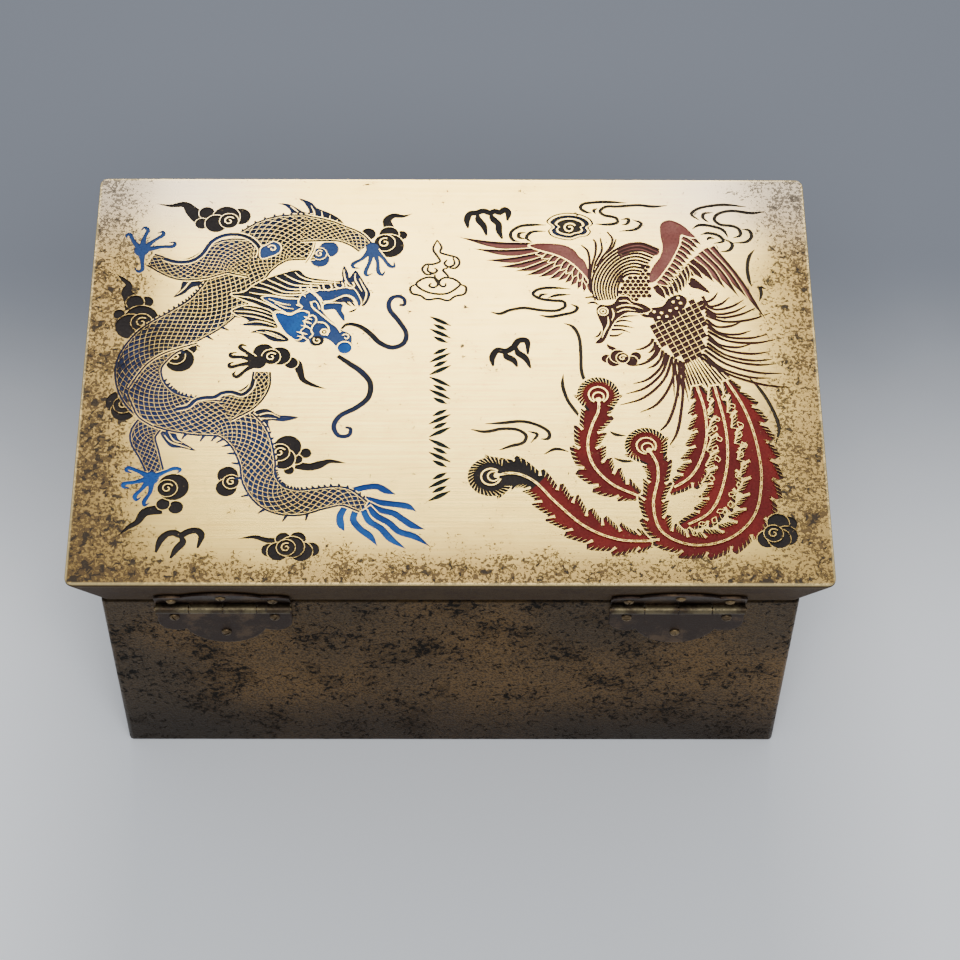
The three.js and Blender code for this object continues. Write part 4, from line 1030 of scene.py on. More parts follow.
# %% Clouds
CLOUD_RIM = 0.22
PLUME_CLOUD = ("black", (84.6, -51.6, 2.5), 0.7, [(88.8, -48.6, 2.2), (86, -48.4, 2.9), (88, -52.4, 3),
                                                  (82.8, -53.4, 2.6), (86, -53.2, 3)], [])
CLOUDS = [
    ("black", (-62.8, 52.2, 2.6), 0.6,
     [(-69.2, 55, 2.2), (-70.4, 51.2, 1.9), (-59.6, 53.8, 2.9), (-63.6, 53.6, 3.8), (-66.4, 51.2, 3.1)],
     [(-66, 50.4, 1.6), (-70.5, 52.6, 2.1), (-73.2, 55.4, 1.9), (-75.6, 58, 1.1), (-79.6, 57.6, 0.5),
      (-83.7, 58.4, 0)]),
    ("black", (-18.8, 44.5, 2.9), 1.2, [(-23.4, 47.6, 2.1), (-14, 47.2, 1.6), (-17.6, 47.4, 2.8),
                                        (-17.4, 43.4, 4.1)],
     [(-17.4, 47, 2.4), (-17.8, 50.2, 1.5), (-18.2, 52.6, 1.2), (-16.4, 54.2, 0.9), (-13.6, 54, 0.5),
      (-11, 55, 0)]),
    ("steel", (-37, 40.6, 2), 0.9, [(-34.4, 42.2, 2.8), (-36.8, 38.6, 2.7)], []),
    ("black", (-85.2, 16.6, 2.9), 0.9,
     [(-91.6, 19.4, 1.6), (-84.2, 23.6, 1.9), (-87.4, 23.4, 2.5), (-85.4, 17.6, 4.8), (-88.2, 15.2, 4.2)],
     [(-88, 21, 2), (-88.8, 24.6, 1.9), (-90, 27, 1.5), (-89.6, 29.6, 0.9), (-91.2, 31.4, 0.6),
      (-93, 33.2, 0)]),
    ("black", (-75.1, 5.2, 2.5), 0.7, [(-71.4, 7.8, 1.9), (-74, 3.9, 4)], []),
    ("black", (-88.4, -11, 2.6), 0.3, [(-89.4, -10.2, 3.8), (-88.2, -12.8, 3.4)], []),
    ("black", (-49.2, 5, 2.5), 0.6, [(-51.2, 6.4, 3), (-43.6, 3, 1.9), (-46.8, 5.3, 3)],
     [(-44.6, 3, 1.8), (-42.2, 2.6, 1.5), (-41.2, 0.4, 1.1), (-40.2, -2.6, 0.8), (-37, -4.6, 0.5),
      (-33.6, -5.7, 0)]),
    ("black", (-45.7, -26.3, 2.6), 0.5,
     [(-38.8, -26.6, 1.6), (-41, -28.6, 1.5), (-43, -32, 1.4), (-43.6, -24.6, 3.7), (-44.8, -28.4, 3.3)],
     [(-41.4, -30.4, 1.2), (-37.4, -31, 1.2), (-34.8, -30.2, 1.2), (-32.5, -29.2, 0.7), (-30, -29.4, 0.4),
      (-27.7, -29.8, 0)]),
    ("black", (-58.2, -35.7, 2.1), 0.9, [(-59.2, -33.7, 2.8), (-59.4, -37.6, 2.8)], []),
    ("black", (-75, -37.8, 2.6), 0.5, [(-72.4, -43.8, 2), (-75.8, -42.8, 1.8), (-73.4, -37.4, 4.2)],
     [(-76, -44.4, 1.5), (-80.4, -45.4, 1.3), (-82.2, -48.4, 0.9), (-84.6, -50.2, 0.6), (-86.9, -52.7, 0)]),
    ("black", (-43, -56.2, 2.4), 1.1,
     [(-43.8, -53.6, 2), (-40, -53.6, 2.2), (-47.4, -57, 2), (-36.4, -56.8, 2.2), (-45, -57.4, 2.8),
      (-39, -57.4, 3),
      (-41.4, -56, 3.2)],
     [(-45, -54.2, 1), (-48, -54, 0.8), (-51, -53, 0.6), (-55.7, -53.5, 0)]),
    ("brown", (46.8, 4.9, 1.7), 0.4, [(42.4, 4.6, 1.4), (50.4, 5.4, 1.5), (49.2, 3.8, 1.7),
                                      (44.4, 3.9, 1.9), (45.6, 5.4, 2.2)],
     [(45, 6.6, 0.9), (44.4, 7.8, 0.7), (43.2, 8.6, 0.5), (42.6, 9.8, 0)]),
]


CLOUD_CURL, CLOUD_TURN = 0.62, 7.2


def cloud(paint, core, start, lobes, tail_line):
    if tail_line:
        stroke(tail_line, paint, 5, CLOUD_RIM)
    for x, y, radius in [*lobes, core]:
        disc((x, y), radius + CLOUD_RIM, "brass", 18)
        disc((x, y), radius, paint, 18)
    swirl(core[:2], core[2] * CLOUD_CURL, start, CLOUD_TURN)


# %% Flames and wind
FLAMES = [
    [(-76.8, -57.8), (-75.8, -54), (-74.2, -52.1), (-72.4, -51.7), (-70.6, -52.5), (-68.8, -51.4),
     (-66.6, -51), (-65.2, -52.2),
     (-66, -56.4)],
    [(-71, -52.4), (-69.9, -54.4), (-71.4, -56.6), (-72.9, -59.5)],
    [(4.6, 49.8), (4.3, 52.8), (5.2, 55), (7, 55.3), (9, 56), (10.8, 55.3), (12.2, 55.9), (13.6, 55.4),
     (15, 56.6), (16, 55.4),
     (15.7, 52.5)],
    [(7.4, 55), (7.5, 53), (9, 50.6), (9.8, 47.2)], [(10.9, 55), (11.6, 53.2), (13.2, 51.2), (13.3, 49),
                                                     (14.2, 46)],
    [(11.4, 2), (11.2, 5), (12.6, 7.4), (14.8, 7), (17, 8.4), (18.4, 10.6), (20.6, 10.6), (20.9, 6)],
    [(14.6, 7), (15, 5.4), (17, 4), (18, 1.8)], [(17.8, 8.6), (18.2, 6.6), (20.2, 4.8), (21.6, 1.4)],
]
WIND = [
    [(10.8, 20.4), (13.4, 19.8), (16, 21), (20, 21.8), (25, 21), (29.4, 21), (31.4, 22.4), (31, 24),
     (28, 24.4), (24.6, 25),
     (22.6, 26.6), (23.6, 28), (27, 28.8), (33.2, 28.4)],
    [(24.4, 25), (24.7, 26.2), (26.8, 26.7)], [(26.6, 25.2), (29, 26.2), (33, 26.5)],
    [(24.2, 19.4), (27, 18.8), (31, 19.6), (34, 20.6), (34.8, 22), (33, 23.2)],
    [(20.4, 44.5), (17.2, 45.6), (16.6, 48), (19, 50.4), (22.6, 51), (26.6, 51)],
    [(20.8, 46), (18.9, 46.6), (19, 47.9), (20.9, 48.3)],
    [(22.6, 44.8), (21, 46.4), (22.4, 48.4), (26.6, 48.8)],
    [(40.6, 51.4), (44, 51.2), (46.8, 52), (46.4, 53.6), (43, 54.6), (42, 56), (43.6, 57.6), (47, 57.7),
     (53, 58.2), (57, 57.7),
     (61, 58.1)],
    [(49.6, 59), (45, 59.3), (40.8, 59.2), (37, 58.4), (36.5, 57), (38, 55.7), (39.6, 55.3)],
    [(40.7, 55), (40.2, 56.3), (41.3, 57)],
    [(47.8, 53), (49.9, 53.2), (49.6, 51.6), (48, 51.1)], [(51, 53), (53.5, 51.6), (52, 49.6), (47.2, 48.8)],
    [(83.4, 57.7), (78, 58.4), (74.6, 58.2), (69.8, 57), (67.8, 55), (70, 52.8)],
    [(74, 55.6), (71.4, 55.2), (71, 53.8), (72.6, 52)],
    [(88.6, 56), (85, 55.4), (79, 56.2), (75.2, 55), (74.2, 53), (76, 51.2), (79, 50.8), (81, 49.6),
     (81.2, 47.4), (79.2, 46.5)],
    [(81.8, 49.6), (83.8, 49.2), (84.4, 47), (83, 45.2), (79, 44.7)],
    [(67.8, 49.6), (69.6, 51), (73, 50.8), (76.6, 49.2), (77.8, 46.6)],
    [(70, 47.6), (72, 48.2), (75, 47.4), (76.4, 45.4), (73.6, 44.5)],
    [(74, 46.2), (72.4, 46.5), (71.8, 45.6)],
    [(76.4, 46.2), (78.8, 44.4), (78, 42.2), (75.2, 41.5)],
    [(5.2, -18.8), (9, -19.6), (14, -18.6), (18, -19), (20.1, -20.8), (19.4, -23), (16, -24.2),
     (12.8, -25.5)],
    [(9.2, -17), (14, -16.7), (19, -16.2), (23, -17.3), (26.3, -19.8), (26, -21.8), (24, -21.9)],
    [(20.6, -19.4), (23.1, -20.4), (21.4, -23.1)],
    [(24.8, -26.8), (28, -25.1), (31.6, -26)], [(42.6, -19.4), (44, -20.4), (47, -20.8)],
    [(43, -27.8), (46, -29), (50, -28.7)],
    [(31, 16.6), (33.4, 15.4), (35, 12), (35.4, 6), (35.4, 1), (36, -2), (37.4, -4.6)],
    [(30.5, -0.6), (30.2, -4), (31.4, -9), (33.6, -13), (35.4, -16)],
    [(85, 42.4), (83.4, 40), (82.6, 36), (82.8, 32), (83.4, 29.4)],
    [(87.4, 28.6), (85.8, 29.1), (86, 27), (85.3, 24.3)],
    [(80.5, -1), (84, -6), (87, -13), (88.1, -18.6), (86.8, -23.5)],
]
TALL_CLOUD = [
    [(-4, 45.6), (-5.2, 42.4), (-4, 39.8), (-3.2, 38), (-5, 37), (-7.2, 36.8), (-8.2, 35.2), (-7, 33.4),
     (-4.8, 33.6)],
    [(-4, 45.4), (-2.8, 43), (-3.2, 41.2), (-1, 40.2), (1.6, 39.2), (2.2, 37.2), (1, 35.6), (-0.6, 35.6)],
    [(-6.4, 36.6), (-6.6, 34.6), (-5, 33.8), (-4, 34.8), (-4.8, 35.6)],
    [(0.4, 39.4), (0.8, 37), (-0.8, 36), (-2, 37.2), (-1.2, 38.6)],
    [(-4.6, 33.4), (-4.6, 32), (-3.8, 30)], [(-1, 35.7), (-2.4, 35), (-1.2, 33.2), (-0.6, 32)],
    [(-5.6, 30.4), (-6.2, 29.4), (-5, 28.8), (-3.8, 29.8), (-4, 31.6), (-6.4, 32.4), (-9, 31.2), (-9.8, 30),
     (-8.4, 28.2), (-5.4, 26.8),
     (-1.4, 26.7), (1.4, 28.6), (2.4, 30), (0.6, 31.8), (-2, 32.2), (-3.4, 31), (-3, 29.4), (-1.8, 29.2),
     (-1.6, 30.4)],
    [(-9.8, 30), (-11.4, 28.8), (-11, 26.8), (-8.6, 26), (-6.8, 24.6), (-3.6, 25), (-0.8, 24.3), (1, 25.8),
     (3.6, 26.6), (4, 29), (2.4, 30)],
]
ROUND_CLOUD = [(26.6, 52.2), (28.4, 54.3), (32, 55.4), (36.4, 54.9), (39.4, 53), (39.9, 51.2), (38.6, 50.1),
               (39.3, 48.6), (38.3, 47.1),
               (36, 46.6), (33.4, 45.5), (30, 46.1), (27.7, 47.3), (27.1, 49), (28.2, 50.3)]
ROUND_MIDDLE = Vector((33.2, 50.3))


def round_cloud():
    """Outlines that lie round one another, like the skins of an onion."""
    for share, paint in ((1, "olive"), (0.92, "brass"), (0.83, "slate"), (0.62, "brass"), (0.54, "olive")):
        shape([tuple(ROUND_MIDDLE.lerp(Vector(p), share)) for p in ROUND_CLOUD], paint)
    swirl((33.2, 49.9), 1.9, 0.5, 8, 0.24)


FLAME_HALF, WIND_HALF, TALL_HALF = 0.95, 0.5, 0.36
MARKS = ((FLAMES, FLAME_HALF, "black", 0.3), (WIND, WIND_HALF, "olive", 0.2),
         (TALL_CLOUD, TALL_HALF, "olive", 0.6))


def clouds_and_marks():
    for lines, half, paint, ends in MARKS:
        for line in lines:
            tapered(line, half, paint, ends, ends)
    round_cloud()
    for row in CLOUDS:
        cloud(*row)


# %% [markdown]
# ### The column of strokes
# Between the two figures runs a column of short slanting strokes in six groups, filled with a very
# dark green. They are plain marks with pointed ends.

# %% Column of strokes
GROUPS = 6
GROUP_PITCH = 10.2
STROKE_PITCH = 2.1
STROKE_REACH = 3.3
STROKE_LEAN = 0.5


def stroke_column():
    for group in range(GROUPS):
        lean = STROKE_LEAN if group % 2 else -STROKE_LEAN
        for row in range(4):
            reach = STROKE_REACH * (0.66 if (group * 3 + row) % 2 else 1)
            x, y = -3, 17.2 - group * GROUP_PITCH - row * STROKE_PITCH
            dx, dy = reach * math.cos(lean), reach * math.sin(lean)
            stroke([(x - dx, y - dy, 0.15), (x, y, 0.68), (x + dx, y + dy, 0.1)], "green", 5)


# %% [markdown]
# ### The phoenix's wings
# A feather is a dark line with a lighter one inside, on a rim of metal, so its edge and its tip stay
# dark. Rows of roots and rows of tips make whole fans of them. Shoulders of rose colour cover the
# roots at the end.

# %% Phoenix wings
FEATHER_RIM = 0.24
ARM_LEFT = [(21.8, 43.6), (24.2, 44.4), (27, 44.4), (30, 44.2), (32.6, 43.4), (34.6, 41.8), (35.7, 39.8),
            (36.9, 38.6), (37.7, 36.8),
            (38.3, 34), (38.6, 30.6), (37.4, 32.8), (35.6, 35.4), (33.4, 37.8), (31, 39.6), (28, 41),
            (25, 42)]
ARM_RIGHT = [(59, 51.5), (61.2, 52.9), (63.4, 52.2), (65.4, 50.8), (67.4, 48.4), (68.6, 46.6), (66.4, 47),
             (64.6, 47.6), (64, 44.6),
             (62.6, 41), (61, 37.6), (59.2, 34.6), (57, 31.4), (55.4, 30.6), (55.1, 33.4), (56.4, 36.6),
             (58.2, 39.4), (59.2, 43),
             (58.7, 47.6)]
LEFT_TIPS = [(2, 46.6), (6, 42.5), (9.5, 38.4), (13, 36), (17.6, 34.6), (20.5, 33.1), (24, 32.5),
             (27, 31.8), (29.5, 31.3), (31.5, 30.5),
             (33.1, 29.5), (35, 28.3), (36.7, 27.3), (38.6, 26.9)]
RIGHT_FEATHERS = [
    [(72.8, 43.2), (80, 31), (86.8, 17.8)], [(71, 42.6), (77, 33.6), (82.2, 25)],
    [(69.6, 41.4), (75, 33.8), (79.8, 25.6)],
    [(68.4, 40), (72.6, 34.4), (76.2, 28.4)], [(67, 38.6), (70.4, 34.8), (73.2, 30.7)],
    [(65.6, 37), (68, 34.6), (70.2, 31.8)],
    [(64.4, 35.4), (66.2, 34.2), (67.7, 32.8)],
]


def feather(line, half, inner="rose"):
    tapered(line, half, "brown", 0.9, 0, 4, FEATHER_RIM)
    last = Vector(line[-2]).lerp(Vector(line[-1]), 0.5)
    if inner:
        tapered([*line[:-1], tuple(last)], half * 0.5, inner, 0.9, 0)


def wings():
    roots = spaced(smooth([(23.6, 43.6), (27.4, 40.4), (33, 36.6), (38.2, 31.2)], 6), 0.2)
    for i, tip in enumerate(LEFT_TIPS):
        share = i / (len(LEFT_TIPS) - 1)
        root = roots[round(share ** 0.8 * (len(roots) - 1))].to_2d()
        middle = root.lerp(Vector(tip), 0.5) - Vector((0, 1.3 * (1 - share)))
        feather([tuple(root), tuple(middle), tip], 1.15 - 0.45 * share)
    for line in fan(9, [(27.4, 41.6), (33.4, 38.4), (37.8, 33.6)], [(23.6, 40.6), (29.8, 35.4), (37.4, 30)]):
        feather(line, 0.95)
    shape(ARM_LEFT, "rose", 3, RIM)
    for i, line in enumerate(RIGHT_FEATHERS):
        feather(line, 1.15 - 0.04 * i, "rose" if i < 4 else None)
    shape([(65.6, 32.2), (67.2, 32.4), (69.4, 30.4), (71.8, 27), (68.6, 28.4), (66.4, 29.2)], "brown", 3,
          FEATHER_RIM)
    for line in fan(8, [(65, 36.4), (62, 33), (56.6, 29.6)], [(66, 31), (63.6, 27.2), (59.4, 25)]):
        feather(line, 1.0, None)
    for line in fan(12, [(65.4, 48.2), (62.8, 41.2), (56.8, 31.8)], [(70.2, 44), (66.4, 38.4), (60.6, 29.6)]):
        feather(line, 0.85, "rose")
    shape(ARM_RIGHT, "rose", 3, RIM)


# %% [markdown]
# ### The phoenix's body, neck and head
# The breast is a net of slanting tiles. Wisps fan out of its edge, sagging and hooked at the ends. The
# neck is a sheaf of curved lines between an outer and an inner one, and the small head has an eye
# ring, a beak and loose wattles.

# %% Phoenix body
NET = [(54.9, 18.4), (57.6, 17.8), (61, 20), (65, 22.6), (66.6, 25), (69.4, 24), (70.1, 19), (70.2, 14),
       (69.4, 8), (67, 4), (64, 3.6),
       (60, 6.4), (57, 10), (55.2, 13)]
TILE_RISE = Vector((1.66, 1.0))
TILE_FALL = Vector((0.62, -1.5))
TILE_FILL = 0.93
SCALLOPS = [(53.4, 36.4), (54.8, 37.4), (55.4, 35), (55.2, 30), (55, 25.6), (51, 24.6), (46.6, 25),
            (46.6, 28), (47.2, 30.8), (48.6, 32.6),
            (50.6, 33.4), (52.8, 33.4)]
SCALLOP_PITCH = 1.45
SPOTTED = [(52, 20.2), (55, 21.8), (58.4, 22.6), (60, 25), (63, 26.6), (65.2, 25), (64.4, 22), (61.6, 19.8),
           (60.4, 18), (58, 17.4),
           (55.4, 18.4), (53, 18.8)]
SPOTS = [(54, 20), (56, 20.6), (58, 20.2), (57.2, 18.6), (59.4, 19), (60.4, 21), (62.2, 21.8), (61.4, 24),
         (63.4, 23.6), (62.8, 25.4)]
FLANK_TIPS = [(74, 27.4), (77, 25.6), (81, 24.8), (81.6, 22.8), (84.4, 22.2), (88, 20.2), (80.6, 17.8),
              (82.4, 14.2), (86.8, 12.9),
              (88.9, 11.2), (82, 9.6), (87.2, 7.1), (87.5, 4.5), (88.7, 3), (90, -0.2), (87, -1.8),
              (92, -4.9)]
BELLY_TIPS = [(50.4, 7.6), (53.8, 6.6), (53.4, 4.2), (49.4, 2.2), (53.4, 1.4), (49.4, -3.8), (47, -7.2),
              (45.6, -10.8), (51, -13.2),
              (55, -20.2), (58.4, -24)]


def inside(at, outline):
    """True for a place within an outline."""
    odd = False
    for (ax, ay), (bx, by) in zip(outline, outline[1:] + outline[:1]):
        if (ay > at[1]) != (by > at[1]) and at[0] < ax + (bx - ax) * (at[1] - ay) / (by - ay):
            odd = not odd
    return odd


def breast():
    middle = Vector((62.4, 14))
    for row in range(-11, 12):
        for column in range(-11, 12):
            at = middle + TILE_RISE * row + TILE_FALL * column
            if inside(at, NET):
                a, b = TILE_RISE * TILE_FILL / 2, TILE_FALL * TILE_FILL / 2
                fill([at - a - b, at + a - b, at + a + b, at - a + b], "brown")


SCALLOP_ROWS, SCALLOP_COLUMNS = 14, 10
SCALLOP_X, SCALLOP_Y = 45.4, 24.8
SCALLOP_RISE, SCALLOP_RADIUS = 0.87, 0.72


def scallops():
    for row in range(SCALLOP_ROWS):
        for column in range(SCALLOP_COLUMNS):
            at = (SCALLOP_X + (column + (row % 2) / 2) * SCALLOP_PITCH,
                  SCALLOP_Y + row * SCALLOP_PITCH * SCALLOP_RISE)
            if inside(at, SCALLOPS):
                disc(at, SCALLOP_RADIUS, "brown", 8)


WISP, WISP_ROOT, WISP_TIP = 0.42, 1.2, 0.3
WISP_FINE = 0.33
WISP_SAGS = ((0.3, 2.4), (0.72, 2))


def wisps():
    roots = spaced(smooth([(69.6, 26), (70, 21), (70.4, 14), (69.8, 9), (67.4, 4)], 8), 0.2)
    for i, tip in enumerate(FLANK_TIPS):
        root = roots[round(i * (len(roots) - 1) / len(FLANK_TIPS))].to_2d()
        low, far = (root.lerp(Vector(tip), share) - Vector((0.4, sag)) for share, sag in WISP_SAGS)
        tapered([tuple(root), tuple(low), tuple(far), tip], WISP, "brown", WISP_ROOT, WISP_TIP, 5)
    roots = spaced(smooth([(55.4, 11.4), (57, 8.6), (60, 5.6), (64.4, 3)], 8), 0.2)
    for i, tip in enumerate(BELLY_TIPS):
        root = roots[round(i * (len(roots) - 1) / len(BELLY_TIPS))].to_2d()
        down = Vector((root.x * 0.82 + tip[0] * 0.18, root.y * 0.52 + tip[1] * 0.48))
        far = Vector((root.x * 0.42 + tip[0] * 0.58, root.y * 0.14 + tip[1] * 0.86))
        tapered([tuple(root), tuple(down), tuple(far), tip], WISP, "brown", WISP_ROOT, WISP_TIP, 5)
    for line in fan(16, [(60.4, 5.6), (64, 3.6), (69.4, 6.4)], [(60.4, -8), (69, -11), (80, -7.4)]):
        tapered(line, WISP_FINE, "brown", 0.4, WISP_TIP)


# %% Phoenix neck and head
NECK_OUTER = [(58.2, 42.2), (53, 44.6), (48, 43.4), (43.4, 39.8), (40, 34.4), (38.9, 29), (39.8, 24.4)]
NECK_INNER = [(52.6, 33.6), (50, 33.8), (48, 32.8), (46.8, 31), (46.2, 29), (46, 27), (46.2, 24.8)]
NECK_LINES = 10
NECK_FILL = 0.37
NECK_WIDEST = 0.42
CREST = [
    [(38.7, 27), (38.3, 33), (38.6, 38), (38, 42), (36.4, 43.8)],
    [(38.5, 30), (39.1, 36), (40.3, 41), (40.4, 44.6), (39.8, 46)],
    [(39.4, 34), (40.4, 38), (42.1, 42), (41.8, 46.4)], [(40.4, 36.4), (42.2, 39.6), (44.4, 43), (45.2, 46),
                                                         (43.8, 48.6)],
    [(43.2, 40.6), (45.2, 43), (46.2, 46)], [(41, 24.4), (39.4, 25.6), (37, 25.4)],
    [(40.8, 22.8), (39.4, 23.8), (37.6, 23.4)],
]
FACE = [(40, 21.4), (41.2, 23), (43.2, 22.8), (45, 23.6), (46.4, 25.8), (49, 25.8), (50, 24.2), (53, 23.2),
        (55.2, 21.2), (52.6, 20),
        (49, 20.4), (46.2, 18.6), (44.8, 16.8), (43.6, 14.4), (42.2, 11), (41, 9.8), (39.4, 9.8), (41, 12),
        (41.6, 15), (40.8, 17.6)]
FACE_CURLS = [
    [(45.6, 22), (47.6, 22.8), (50.6, 22.6), (52.8, 21.6)], [(45.8, 20.4), (48, 21.4), (50.8, 21)],
    [(46.4, 24.2), (48.4, 24.4), (50, 23.2)],
    [(43.2, 18.8), (43.2, 16.4), (42.2, 14), (41.4, 11.6)], [(44.4, 21.6), (44.8, 19.6), (44.2, 17.6)],
]
WATTLES = [
    [(45.6, 18.2), (48, 19), (51.6, 19.2)], [(45, 17), (47.4, 17.6), (50, 17)],
    [(44.6, 15.8), (47.4, 15.7), (50.4, 15)],
    [(44, 14.4), (46.8, 14.4), (49.2, 13.4)], [(43.4, 12.4), (45.4, 12.4), (47.4, 13.6)],
    [(41.4, 14), (40.4, 12.4), (39.2, 11.8)],
]


CREST_HALF, WATTLE_HALF, CURL_HALF, SPOT = 0.36, 0.34, 0.22, 0.45
PHOENIX_EYE = (41.9, 20.7)


def neck_and_head():
    shape([(46.6, 42.6), (50, 44.8), (54, 44.4), (57, 43), (58.3, 41.6), (57.4, 40.2), (54, 41.4),
           (50, 41.2), (47, 39.8)], "rose")
    for i in range(NECK_LINES):
        share = i / (NECK_LINES - 1)
        line = []
        for a, b in zip(NECK_OUTER, NECK_INNER):
            pitch = (Vector(a) - Vector(b)).length / (NECK_LINES - 1)
            line.append((*Vector(a).lerp(Vector(b), share), min(NECK_WIDEST, pitch * NECK_FILL)))
        stroke(line, "brown")
    for line in CREST:
        tapered(line, CREST_HALF, "brown", 0.5, 0.6)
    scallops()
    shape(SPOTTED, "brown")
    for at in SPOTS:
        disc(at, SPOT, "brass", 8)
    for line in WATTLES:
        tapered(line, WATTLE_HALF, "brown", 1.2, 0.2)
    shape(FACE, "brown", 3, FEATHER_RIM)
    for line in FACE_CURLS:
        tapered(line, CURL_HALF, "brass")
    for radius, paint in ((1.5, "brass"), (1.15, "brown"), (0.75, "brass"), (0.4, "brown")):
        disc(PHOENIX_EYE, radius, paint)


# %% [markdown]
# ### The phoenix's plumes
# Five long plumes sweep down and round. Their edges are cut into lobes that point to the plume's tip,
# with fine slits between the barbs, a pale notch at each lobe and a double quill along the middle.
# Three of them end in an eye of nested arcs.

# %% Phoenix plumes
PLUMES = [
    ([(57.4, -38.4, 1.6), (64, -33.4, 4), (68.2, -23, 4.6), (68.4, -12.6, 4), (66.6, -4.4, 1.4)], None),
    ([(60.6, -49.8, 1.6), (68.6, -44.6, 4), (73.2, -32, 4.6), (73.8, -19, 4.2), (71.4, -4.4, 1.4)], None),
    ([(10.6, -34, 6.2), (16.4, -32.8, 5), (21.6, -35, 4), (28, -42.4, 5), (35.6, -49.8, 5.2),
      (44, -53.6, 4.6), (54, -54, 1.8)],
     "black"),
    ([(39.8, -7.4, 5.8), (39.7, -12.6, 4.2), (38, -17, 4), (36.6, -23, 4), (37.6, -29.6, 4.9),
      (42.4, -36, 4.6), (49.6, -40, 2)], "red"),
    ([(52.2, -24, 5.8), (54.8, -29.6, 3.7), (55, -34, 3.4), (53.4, -43, 3.6), (55.4, -51.2, 4),
      (63, -55.2, 4.2), (72.6, -53.4, 4.4),
      (79.6, -46.6, 5), (82.4, -35, 5.1), (81.6, -22, 4.7), (79, -11.6, 3.8), (74.8, -2.6, 1.4)], "red"),
]
PLUME_STEP = 0.7
LOBE_PITCH = 5.8
SLIT_PITCH = 1.15
SLIT = 2.0
SLIT_HALF = 0.13
FRINGE = 1.15
QUILL = 0.32
EYE = 2.6
BLACK_END = 14
SEAMS = [
    [(61, -42.6), (66.6, -38.2), (70.6, -28), (71.2, -17), (69.4, -8)],
    [(64.6, -50.4), (72.6, -43.6), (77.2, -31.6), (77.6, -19), (74, -7)],
]
SEAM_PITCH = 3.2


def lobed(line):
    """The line with its width running in lobes, widest at the end towards the tip."""
    result, along = [], 0.0
    for p, q in zip(line, line[1:] + line[-1:]):
        result.append(Vector((p.x, p.y, p.z * (1.2 - 0.38 * (along / LOBE_PITCH % 1)))))
        along += (q - p).to_2d().length
    return result


def slit(edge, inwards, tipwards, length):
    fill([edge - tipwards * SLIT_HALF, edge + tipwards * SLIT_HALF, edge + inwards * length - tipwards],
         "brass")


def barbs(line):
    """Slits into both edges of a plume, and a hooked notch where a lobe begins."""
    rows = spaced(line, SLIT_PITCH)
    for p, n in zip(rows, normals(rows)):
        for side in (1, -1):
            slit(p.to_2d() + n * side * (p.z + 0.1), -n * side, Vector((-n.y, n.x)), min(SLIT, p.z * 0.5))
    lobes = spaced(line, LOBE_PITCH)
    for p, n in list(zip(lobes, normals(lobes)))[1:-1]:
        tipwards = Vector((-n.y, n.x))
        for side in (1, -1):
            edge = p.to_2d() + n * side * (p.z * 1.1 + 0.3) + tipwards * 0.3
            root = p.to_2d() + n * side * p.z * 0.62 - tipwards * 1.2
            stroke([(*edge, 0.3), (*((edge + root) / 2), 0.26), (*root, 0.45)], "brass", 2)


FRINGE_START, FRINGE_SWEEP = 0.79, 4.7


def plume_eye(at, core, radius, paint):
    """The round end of a plume: a fringed disc, two nested arcs and a drop where the quill starts."""
    onwards = (core[4] - core[0]).to_2d().normalized()
    disc(at, radius, "black", 32)
    disc(at, radius - FRINGE, paint, 32)
    band(core[:14], paint)
    angle = math.atan2(onwards.y, onwards.x)
    count = round(FRINGE_SWEEP * radius / SLIT_PITCH)
    for i in range(count + 1):
        turn = angle + FRINGE_START + FRINGE_SWEEP * i / count
        outwards = Vector((math.cos(turn), math.sin(turn)))
        slit(at + outwards * (radius + 0.1), -outwards, outwards.orthogonal(), SLIT)
    arc(at, EYE, angle + 0.5, 2 * math.pi - 1, 0.22, "brass", None, 18)
    arc(at + onwards * 0.7, EYE * 0.58, angle + 0.6, 2 * math.pi - 1.2, 0.2, "brass", None, 14)
    disc(at + onwards * 1.6, 0.8, "brass", 12)


PLUME_RIM, EYE_RIM = 0.45, 0.5
DASH, DASH_HALF = 1.3, 0.13


def plume(points, eye_paint):
    line = spaced(smooth(points, 6), PLUME_STEP)
    edge = lobed(line)
    core = [Vector((p.x, p.y, max(p.z - FRINGE, p.z * 0.5))) for p in edge]
    at, radius = Vector(points[0][:2]), points[0][2]
    band(edge, "brass", PLUME_RIM)
    if eye_paint:
        disc(at, radius + EYE_RIM, "brass", 32)
    band(edge, "brown")
    band(core, "red")
    if eye_paint == "black":
        band(edge[:round(BLACK_END / PLUME_STEP)], eye_paint)
    barbs(edge)
    if eye_paint:
        plume_eye(at, core, radius, eye_paint)
    quill = [Vector((p.x, p.y, QUILL)) for p in line[3:]]
    band(quill, "brass")
    dashes = spaced(quill, DASH)
    for a, b in zip(dashes[1::2], dashes[2::2]):
        band([Vector((p.x, p.y, DASH_HALF)) for p in (a, b)], "red")


SEAM_WIRE = 0.12


def seam_loops(points):
    """A chain of small leaves, drawn in metal, where two plumes meet."""
    rows = spaced(smooth(points, 6), SEAM_PITCH)
    for i, (p, n) in enumerate(zip(rows, normals(rows))):
        side = 1 if i % 2 else -1
        way = Vector((-n.y, n.x))
        root, tip = p.to_2d(), p.to_2d() + n * side * 0.9 + way * 2.0
        bulge = n * side * 0.7 - way * 0.1
        for bend in (bulge, -bulge):
            wire([tuple(root), tuple(root.lerp(tip, 0.6) + bend), tuple(tip)], SEAM_WIRE, "brass")


def plumes():
    for points, eye_paint in PLUMES:
        plume(points, eye_paint)
    for points in SEAMS:
        seam_loops(points)
    cloud(*PLUME_CLOUD)


